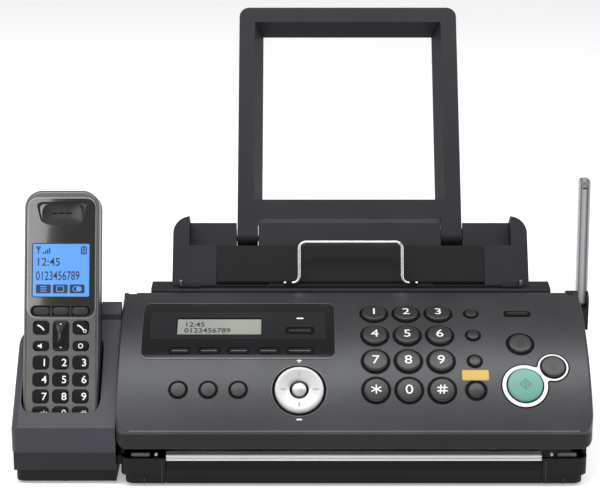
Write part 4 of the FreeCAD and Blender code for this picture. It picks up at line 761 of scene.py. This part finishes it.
def window_trim():
    """Frame line in a lighter grey that is a painted highlight, inner lens, lamp, and painted shade round the
    display, in the microphone holes and round the bar keys of the display window.
    """
    hole_half_wide, hole_half_long = 9.4, 3.4
    lamp_row, microphone_x, microphone_row = 84.0, -128.9, 54.9
    shape = Shape()
    place = panel_at(WINDOW_X, WINDOW_ROW)
    outline = dense(rounded(WINDOW_WIDE, WINDOW_LONG, 5.0), 2.0)
    # Frame line round the window: painted highlight of its edge
    bead(shape, place, outline, [(0.5, 0.0), (0.45, 0.3), (0.3, 0.52), (0.05, 0.54), (-0.1, 0.45)])
    key_x, key_arc = key_spot("auto_answer_key")
    ends = (-1, 1)
    left, right = [x - WINDOW_X for x in LENS_SIDES]
    lens_low, lens_high = [row - WINDOW_ROW for row in LENS_ROWS]
    lcd_left, lcd_right = [LCD_X + end * LCD_WIDE / 2 - WINDOW_X for end in ends]
    lcd_low, lcd_high = [LCD_ROW + end * LCD_LONG / 2 - WINDOW_ROW for end in ends]
    hole_left, hole_right = [key_x + end * hole_half_wide - WINDOW_X for end in ends]
    hole_low, hole_high = [key_arc + end * hole_half_long - WINDOW_ROW for end in ends]
    levels = sorted({lens_low, lens_high, lcd_low, lcd_high, hole_low, hole_high}
                    | {lens_low + (lens_high - lens_low) * i / 12 for i in range(13)})
    for low, high in zip(levels, levels[1:]):
        middle = (low + high) / 2
        spans = [(left, right)]
        if lcd_low < middle < lcd_high:
            spans = [(left, lcd_left), (lcd_right, right)]
        if hole_low < middle < hole_high:
            start, end = spans.pop()
            spans += [(start, hole_left), (hole_right, end)]
        for start, end in spans:
            rows_patch(shape, place, [(v, start, end, GLASS_LIFT + 0.04) for v in (low, high)], 1)
    # Dark frame round the display: painted shade
    bead(shape, panel_at(LCD_X, LCD_ROW), dense(rounded(LCD_WIDE, LCD_LONG, 0.4), 1.5),
         [(0.35, GLASS_LIFT + 0.03), (0.25, GLASS_LIFT + 0.12), (0.0, GLASS_LIFT + 0.12),
          (-0.15, GLASS_LIFT - 0.2)], 2)
    lamp = rounded(4.4, 1.1, 0.4)
    plate(shape, panel_at(key_x, lamp_row), [lamp], GLASS_LIFT, GLASS_LIFT + 0.2, 3)
    # Microphone holes, dark with painted shade
    for u in (-1.0, 1.0):
        for v in (-0.9, 0.9):
            bead(shape, panel_at(microphone_x + u, microphone_row + v), circle(0.45, 16),
                 [(0.12, GLASS_LIFT + 0.06), (0.0, GLASS_LIFT + 0.06), (-0.44, GLASS_LIFT + 0.02)], 2)
    # Painted shade in the gaps round the bar keys
    for key in BAR_KEYS:
        if key != "caller_list_key":
            bead(shape, panel_at(*key_spot(key)), bar_outline(key, 1.5),
                 [(0.5, GLASS_LIFT + 0.05), (0.3, GLASS_LIFT + 0.1), (0.1, -0.4)], 2)
    shape.make("window_trim", "cover", [EDGE_HIGHLIGHT_GREY, LENS_GREY, PAINTED_SHADE_BLACK, LED_WHITE], "gloss_black")


def face_height(node, place, start=20):
    """Height of a node's face over the origin of a place, from the model itself, in mm."""
    mesh = NODES[node].data
    tree = BVHTree.FromPolygons([point.co for point in mesh.vertices],
                                [face.vertices for face in mesh.polygons])
    origin = place(0, 0, start)
    return start - tree.ray_cast(origin, place(0, 0, 0) - origin)[3] / MM


def lcd_digits():
    """A time and the ten digits on the display's face."""
    shape = Shape()
    place = key_place(LCD_X, LCD_ROW)
    lift = face_height("display_lcd", place) + 0.05
    for text, v in (("12:45", 2.4), ("0123456789", -3.2)):
        write(shape, place, text, 4.2, (-22.6, v), lift, weight=0.13, align="LEFT")
    shape.make("lcd_digits", "cover", [LCD_INK], "lcd")


key_shade_rings()
ring_rim()
surround()
panel_print()
window_trim()
lcd_digits()


# Handset

def handset_keys():
    """Rubber keys with digits, and a gloss rocker between the call keys."""
    call_row, hold_row, rocker_row = 69.6, 58.0, 64.4
    sign_shift, sign_scale = 2.3, 0.72
    lift = PAD_PROUD + 0.2
    shape = Shape()

    def rubber(height, corners, at):
        outline = dense(rounded(10.0, height, corners, at), 1.2)
        pillow(shape, on_handset, outline, -2.0, PAD_PROUD, 0.6, 0.15)

    for line, row in enumerate(("*0#", "789", "456", "123")):
        for column, sign in zip((-1, 0, 1), row):
            x, v0 = column * PAD_COLUMNS, PAD_FIRST + line * PAD_ROW
            rubber(8.4, 2.0, (x, v0))
            place = lambda u, v, height: on_handset(x + sign_shift + sign_scale * u,
                                                    v0 + sign_scale * v, height)
            dial_sign(shape, place, sign, 6.4, lift, 0.85, weight=0.1, wide=1.05)
    for side in (-1, 1):
        x = side * PAD_COLUMNS
        rubber(8.4, (2.0, 2.0, 2.0, 4.2) if side < 0 else (2.0, 2.0, 4.2, 2.0), (x, call_row))
        rubber(6.0, (4.0, 1.6, 1.6, 1.6) if side < 0 else (1.6, 4.0, 1.6, 1.6), (x, hold_row))
        receiver = [(-2.2, 1.6), (-0.6, 0.9), (0.9, -0.3), (1.9, -1.7)]
        stroke(shape, on_handset, [(x + u, call_row + v) for u, v in receiver], 0.95, lift, 1)
        if side > 0:
            bead(shape, on_handset, circle(0.9, 24, (x + 2.6, call_row - 2.2)),
                 [(0.22, lift), (-0.22, lift)], 1)
            bead(shape, on_handset, circle(1.3, 24, (x, hold_row)), [(0.28, lift), (-0.28, lift)], 1)
        else:
            speaker = [(-1.9, -0.6), (-0.9, -0.6), (0.6, -1.7), (0.6, 1.7), (-0.9, 0.6), (-1.9, 0.6)]
            shape.add([on_handset(x + u, hold_row + v, lift) for u, v in speaker], [[0, 1, 2, 3, 4, 5]], 1)
    rocker = dense(rounded(10.0, 18.6, 2.6, (0, rocker_row)), 1.2)
    pillow(shape, on_handset, rocker, -2.0, 1.1, 0.9, 0.5, 2)
    for v in (57.0, 71.8):
        stroke(shape, on_handset, [(-0.6, v), (0.6, v)], 0.5, 1.45, 1)
    shape.make("handset_keys", "handset", [BASE_BLACK, WHITE_PRINT, LOOKS["gloss_black"]], "key_grey",
               "handset_keypad")


def handset_display():
    """Backlit display with digits and plain signs, behind the lens."""
    lift = 0.06
    ink = lift + 0.03
    glow = ink + 0.03
    text_left, icon_row = -16.4, 94.2
    shape = Shape()
    outline = rounded(36.0, 33.6, 0.8, (-0.3, 106.1))
    bead(shape, on_handset, dense(outline, 3), [(0.5, lift - 0.03), (0.0, lift), (-0.1, lift)], 2)
    plate(shape, on_handset, [outline], 0.0, lift)
    write(shape, on_handset, "12:45", 5.0, (text_left, 111.4), ink, weight=0.06, mark=1, align="LEFT")
    write(shape, on_handset, "0123456789", 5.6, (text_left, 102.6), ink, weight=0.08, wide=0.7, mark=1,
          align="LEFT")
    # Three dark tabs, with lines, a frame and two rounds in them
    for i in range(3):
        tab = rounded(9.4, 5.6, 0.7, (-11.4 + 10.7 * i, icon_row))
        plate(shape, on_handset, [tab], lift, ink, 1)
    for i in range(3):
        stroke(shape, on_handset, [(-13.4, 95.6 - 1.4 * i), (-9.4, 95.6 - 1.4 * i)], 0.55, glow)
    bead(shape, on_handset, rounded(4.4, 3.4, 0.3, (-0.7, icon_row)), [(0.25, glow), (-0.25, glow)])
    bead(shape, on_handset, circle(1.6, 28, (9.0, icon_row)), [(0.25, glow), (-0.25, glow)])
    plate(shape, on_handset, [circle(1.7, 28, (11.2, icon_row))], ink, ink + 0.04)
    # Signal mast with its bars, and the battery
    stroke(shape, on_handset, [(-14.8, 116.6), (-14.8, 121.0)], 0.6, ink, 1)
    stroke(shape, on_handset, [(-16.2, 121.0), (-14.8, 118.8), (-13.4, 121.0), (-16.2, 121.0)], 0.5, ink, 1)
    for i in range(4):
        stroke(shape, on_handset, [(-11.6 + 1.3 * i, 116.6), (-11.6 + 1.3 * i, 117.6 + 0.9 * i)], 0.8, ink, 1)
    bead(shape, on_handset, rounded(3.2, 4.2, 0.3, (14.2, 118.6)), [(0.3, ink), (-0.3, ink)], 1)
    for i in range(3):
        stroke(shape, on_handset, [(13.2, 117.4 + 1.1 * i), (15.2, 117.4 + 1.1 * i)], 0.6, ink, 1)
    stroke(shape, on_handset, [(13.4, 121.2), (15.0, 121.2)], 0.6, ink, 1)
    shape.make("handset_display", "handset", [BLUE_DISPLAY, BLUE_INK, MARK_DARK], "lcd")


def handset_trim():
    """Lens edge, and the soft keys in their recess with the bars between them."""
    row, pitch = 80.2, 12.3
    shape = Shape()
    lens = dense(rounded(43.0, 76.0, 6.0, (0, 114.0)), 2.5)
    bead(shape, on_handset, lens, [(0.55, 0.0), (0.5, 0.14), (0.3, 0.2), (0.05, 0.2), (-0.1, 0.05)])
    recess = dense(rounded(38.0, 6.6, 3.2, (-0.3, row)), 1.5)
    # Recess floor, dark with painted shade
    plate(shape, on_handset, [recess], 0.0, 0.08, 1)
    bead(shape, on_handset, recess, [(0.35, 0.02), (0.25, 0.2), (0.05, 0.2), (-0.2, 0.06)], 2)
    for i in range(3):
        outline = dense(rounded(10.4, 4.6, 2.2, (-12.6 + pitch * i, row)), 1.0)
        pillow(shape, on_handset, outline, 0.05, 0.75, 0.6, 0.15, 3)
    for i in range(2):
        plate(shape, on_handset, [rounded(1.2, 5.4, 0.4, (-6.45 + pitch * i, row))], 0.05, 0.3, 3)
    shape.make("handset_trim", "handset", [EDGE_SILVER, PAINTED_SHADE_BLACK, LOOKS["gloss_black"], LOOKS["key_grey"]],
               "handset_silver")


def earpiece():
    """Dished earpiece in the lens: wide at the top, narrower below, with three slots."""
    shape = Shape()
    rows = []
    for i in range(13):
        share = i / 12
        v = 135.6 + 13.6 * share
        half = 11.8 + 4.0 * share ** 0.7
        if share < 0.2:
            half -= 3.0 * (1 - share / 0.2) ** 2
        if share > 0.88:
            half -= 2.4 * ((share - 0.88) / 0.12) ** 2
        rows.append((v, half, share))
    columns = 24
    points, faces = [], []
    for v, half, share in rows:
        for k in range(columns + 1):
            side = 2 * k / columns - 1
            depth = 0.42 * (1 - (2 * share - 1) ** 2) * (1 - side ** 4)
            points.append(on_handset(half * side, v, 0.08 - depth))
    for i in range(12):
        for k in range(columns):
            a = i * (columns + 1) + k
            faces.append([a, a + 1, a + columns + 2, a + columns + 1])
    shape.add(points, faces)
    edge = [(half, v) for v, half, share in rows] + [(-half, v) for v, half, share in rows[::-1]]
    bead(shape, on_handset, edge, [(0.5, 0.0), (0.3, 0.16), (0.0, 0.16), (-0.3, 0.02)], 1)
    # Three slots, dark with painted shade
    for i in range(3):
        plate(shape, on_handset, [rounded(3.6, 0.9, 0.4, (-4.6 + 4.6 * i, 142.4))], -0.42, -0.3, 2)
    shape.make("earpiece", "handset", [LENS_GREY, LOOKS["gloss_black"], PAINTED_SHADE_BLACK], "gloss_black")


handset_keys()
handset_display()
handset_trim()
earpiece()


# Front edge, paper exit and guides

def strip_x(shape, profile, x0, x1):
    """Band along x through (y, z) points, lowest first, with closed ends, in mm of the body frame."""
    points = []
    for x in (x0, x1):
        points += [Vector((BODY_MIDDLE_X + x * MM, FRONT_Y + y * MM, z * MM)) for y, z in profile]
    count = len(profile)
    faces = [[i, i + count, i + count + 1, i + 1] for i in range(count - 1)]
    faces += [list(range(count)), list(range(2 * count - 1, count - 1, -1))]
    shape.add(points, faces)


def on_front(y):
    """Frame on an upright face at depth y: u to the right, v up, height towards the front, in mm."""
    return lambda u, v, height: Vector((BODY_MIDDLE_X + u * MM, FRONT_Y + (y - height) * MM, v * MM))


def on_back(u, v, height):
    """Frame on the rear face: u to the right as seen from behind, v up, height rearward, in mm."""
    return Vector((BODY_MIDDLE_X - u * MM, FRONT_Y + (BODY_DEPTH + height) * MM, v * MM))


def exit_bar():
    """Bright guide bar along the paper exit, in two rounded bands."""
    front, bottom, half = 4.6, 17.3, 118.4
    shape = Shape()
    profile = [(front, bottom)]
    for foot in (17.4, 19.35):
        for i in range(7):
            angle = math.radians(180 * i / 6)
            z = foot + 0.95 * (1 - math.cos(angle))
            profile.append((front + (z - bottom) * 0.25 - 0.15 - 0.5 * math.sin(angle), z))
    profile += [(7.2, 21.25), (7.2, 19.0)]
    strip_x(shape, profile, -half, half)
    shape.make("exit_bar", "base", [BAR_SILVER], "light_grey", angle=60)


def front_details():
    """Latch plate and stop in the side gap, and seam ribs on the lower front."""
    gap_face, rib_face, rib_foot = 6.4, 3.0, 2.4
    shape = Shape()
    for side in (-1, 1):
        latch = dense(rounded(11.6, 2.3, 0.5, (side * 134.6, 20.7)), 1.5)
        pillow(shape, on_front(gap_face), latch, -1.5, 0.5, 0.4)
        pillow(shape, on_front(gap_face), circle(1.0, 20, (side * 124.8, 20.8)), -1.5, 0.6, 0.4, 0.1, 1)
        for x, top in ((121.2, 17.0), (132.4, 6.4)):
            rib = rounded(0.5, top - rib_foot, 0.2, (side * x, (top + rib_foot) / 2))
            bead(shape, on_front(rib_face), dense(rib, 2.0), [(0.25, 0.0), (0.1, 0.16), (-0.2, 0.05)], 2)
    shape.make("front_details", "base", [LOOKS["inner_grey"], WHITE_PLATE, LOOKS["gloss_black"]],
               "inner_grey")


def crease_highlight_line():
    """Fine raised edge along the front crease of the panel, in a lighter grey that is a painted highlight."""
    reach = 141.0
    shape = Shape()
    rows = [(0.15, 0.0), (0.3, 0.1), (0.48, 0.14), (0.66, 0.1), (0.8, 0.0)]
    rows_patch(shape, panel_at(0, 0), [(v, -reach, reach, height) for v, height in rows])
    shape.make("crease_highlight_line", "cover", [EDGE_HIGHLIGHT_GREY], "panel_charcoal", angle=70)


def guide_fences():
    """Pale upright mark on the front of each document guide."""
    for side, end in ((-1, "left"), (1, "right")):
        name = "document_guide_" + end
        shape = Shape()
        low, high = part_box(name)
        outer = (low.x if side < 0 else high.x) - BODY_MIDDLE_X
        middle = outer / MM - side * 1.0
        face = (low.y - FRONT_Y) / MM
        outline = dense(rounded(1.7, 4.4, 0.4, (middle, high.z / MM - 2.5)), 0.8)
        pillow(shape, on_front(face), outline, -0.3, 0.25, 0.2)
        shape.make(name + "_fence", "guide_" + end, [EDGE_SILVER], "light_grey")


def antenna_cap():
    """Grey tip and a dark band under it, on the front of the blade."""
    low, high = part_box("antenna_blade")
    lean = Vector((0, math.sin(ANTENNA_LEAN), math.cos(ANTENNA_LEAN)))
    out = Vector((0, -math.cos(ANTENNA_LEAN), math.sin(ANTENNA_LEAN)))
    foot = Vector(((low.x + high.x) / 2, low.y + ANTENNA_HALF * MM, ANTENNA_AXIS * MM))

    def place(u, v, height):
        return foot + Vector((u * MM, 0, 0)) + lean * v * MM + out * (ANTENNA_HALF + height) * MM

    shape = Shape()
    pillow(shape, place, dense(rounded(5.4, 3.0, 1.2, (0, 80.6)), 0.8), -0.2, 0.3, 0.25, 0.05)
    pillow(shape, place, dense(rounded(3.0, 1.2, 0.5, (0, 77.6)), 0.6), -0.2, 0.2, 0.15, 0.0, 1)
    shape.make("antenna_cap", "antenna", [LOOKS["inner_grey"], LOOKS["key_grey"]], "inner_grey")


def screw(shape, place, at, radius=2.6):
    """Pan head with a cross recess in a counterbore; the counterbore and the cross are dark with painted shade."""
    spot = lambda u, v, height: place(at[0] + u, at[1] + v, height)
    bead(shape, spot, circle(radius + 1.2, 32), [(0.3, 0.0), (0.1, 0.25), (-0.3, 0.05), (-1.2, 0.02)], 0)
    head = [(radius, 0.02), (radius, 0.3), (radius * 0.86, 0.6), (radius * 0.5, 0.78), (0, 0.82)]
    lathe(shape, spot, head, 32, 1)
    for path in ([(-1.5, 0), (1.5, 0)], [(0, -1.5), (0, 1.5)]):
        stroke(shape, spot, path, 0.55, 0.84, 0)


def vents(shape, place, middle, count, height):
    """Row of upright slots with raised rims, each slot a dark plate of painted shade."""
    pitch = 4.4
    for i in range(count):
        at = (middle[0] + (i - (count - 1) / 2) * pitch, middle[1])
        outline = rounded(2.0, height, 0.95, at)
        # Dark plate in the slot: painted shade
        plate(shape, place, [outline], 0.0, 0.05)
        bead(shape, place, outline, [(0.4, 0.0), (0.25, 0.3), (0.0, 0.3), (-0.15, 0.06)], 2)


def on_side(side):
    """Frame on a flank: u to the right as seen from that side, v up, height outward, in mm."""
    return lambda u, v, height: Vector((BODY_MIDDLE_X + side * (TUB_HALF + height) * MM,
                                        FRONT_Y + (FLANK_MIDDLE + side * u) * MM, v * MM))


def side_details():
    """Vents and a screw on each flank."""
    shape = Shape()
    for side in (-1, 1):
        vents(shape, on_side(side), (0, 34.0), 9, 20.0)
        screw(shape, on_side(side), (0, 12.0))
    shape.make("side_details", "base", [PAINTED_SHADE_BLACK, STEEL, LOOKS["body_black"]], "body_black")


def back_details():
    """Vents, screws, a blank plate and the contacts of the sockets on the rear face."""
    shape = Shape()
    for side in (-1, 1):
        vents(shape, on_back, (side * 74, 44.0), 15, 17.0)
        for v in (16.0, 50.0):
            screw(shape, on_back, (side * 126.0, v))
    screw(shape, on_back, (0.0, 16.0))
    blank = dense(rounded(44.0, 18.0, 1.5, (0, 40.0)), 6)
    plate(shape, on_back, [blank], 0.0, 0.12, 3)
    bead(shape, on_back, blank, [(0.8, 0.0), (0.6, 0.3), (0.2, 0.3), (-0.1, 0.1)], 2)
    for i in range(4):
        u = -70 - 2.4 + 1.6 * i
        strip = [(u - 0.3, 18.6), (u + 0.3, 18.6), (u + 0.3, 21.2), (u - 0.3, 21.2)]
        plate(shape, on_back, [strip], -8.0, -7.0, 4)
    pin = [(0.9, -14.0), (0.9, -4.0), (0.6, -3.2), (0, -3.0)]
    for u in (68.0, 72.0):
        lathe(shape, lambda a, b, height: on_back(u + a, 17.6 + b, height), pin, 16, 1)
    shape.make("back_details", "base",
               [PAINTED_SHADE_BLACK, STEEL, LOOKS["body_black"], LOOKS["inner_grey"], GOLD], "body_black")


exit_bar()
front_details()
crease_highlight_line()
guide_fences()
antenna_cap()
back_details()
side_details()


# Camera, light and floor

CAMERA_AT = Vector((-5.75 * MM, FRONT_Y - 1139.11 * MM, 529.71 * MM))
CAMERA_DOWN = math.radians(18)
FOCAL_SHARE = 1976 / 600
WORLD_STRENGTH = 0.36
FLOOR_SIZE, FLOOR_GLOW = 12, 0.34
# Name, place, aim, width and height in metres, and power in watts
LIGHTS = [
    ("key_light", (-0.7, -1.0, 1.7), (0, 0, 0.08), (2.0, 1.2), 7),
    ("top_light", (0, -0.36, 1.6), (0, -0.07, 0.08), (2.2, 0.5), 22),
    ("lens_light", (-0.602, -1.854, 1.024), (-0.157, -0.074, 0.146), (0.36, 0.6), 2.6),
    ("side_light", (1.6, -0.3, 0.7), (0, 0, 0.1), (0.7, 1.2), 6),
    ("rim_light", (-1.6, 0.1, 0.7), (0, 0, 0.1), (0.6, 1.2), 6),
]


def placed(name, data, at, turn):
    made = bpy.data.objects.new(name, data)
    made.location = at
    made.rotation_euler = turn
    bpy.context.collection.objects.link(made)
    return made


def camera():
    data = bpy.data.cameras.new("camera")
    data.sensor_fit = "HORIZONTAL"
    data.lens = FOCAL_SHARE * data.sensor_width
    bpy.context.scene.camera = placed("camera", data, CAMERA_AT, (math.pi / 2 - CAMERA_DOWN, 0, 0))


def softbox(name, at, aim, size, power):
    data = bpy.data.lights.new(name, "AREA")
    data.shape = "RECTANGLE"
    data.size, data.size_y = size
    data.energy = power
    placed(name, data, at, (Vector(aim) - Vector(at)).to_track_quat("-Z", "Y").to_euler())


def studio():
    """Even white surroundings, five soft lights and a pale floor."""
    bpy.context.scene.view_settings.view_transform = "Standard"
    world = bpy.data.worlds.new("studio")
    bpy.context.scene.world = world
    world.use_nodes = True
    background = world.node_tree.nodes["Background"]
    background.inputs["Color"].default_value = (1, 1, 1, 1)
    background.inputs["Strength"].default_value = WORLD_STRENGTH
    for light in LIGHTS:
        softbox(*light)
    bpy.ops.mesh.primitive_plane_add(size=FLOOR_SIZE)
    floor = bpy.context.object
    floor.name = "floor"
    floor.data.materials.append(moulded("floor_white", (0.93, 0.93, 0.93), 0.7, grain=60, depth=0.0001,
                                        mottle=0.008, Emission_Color=(1, 1, 1, 1),
                                        Emission_Strength=FLOOR_GLOW))


camera()
studio()
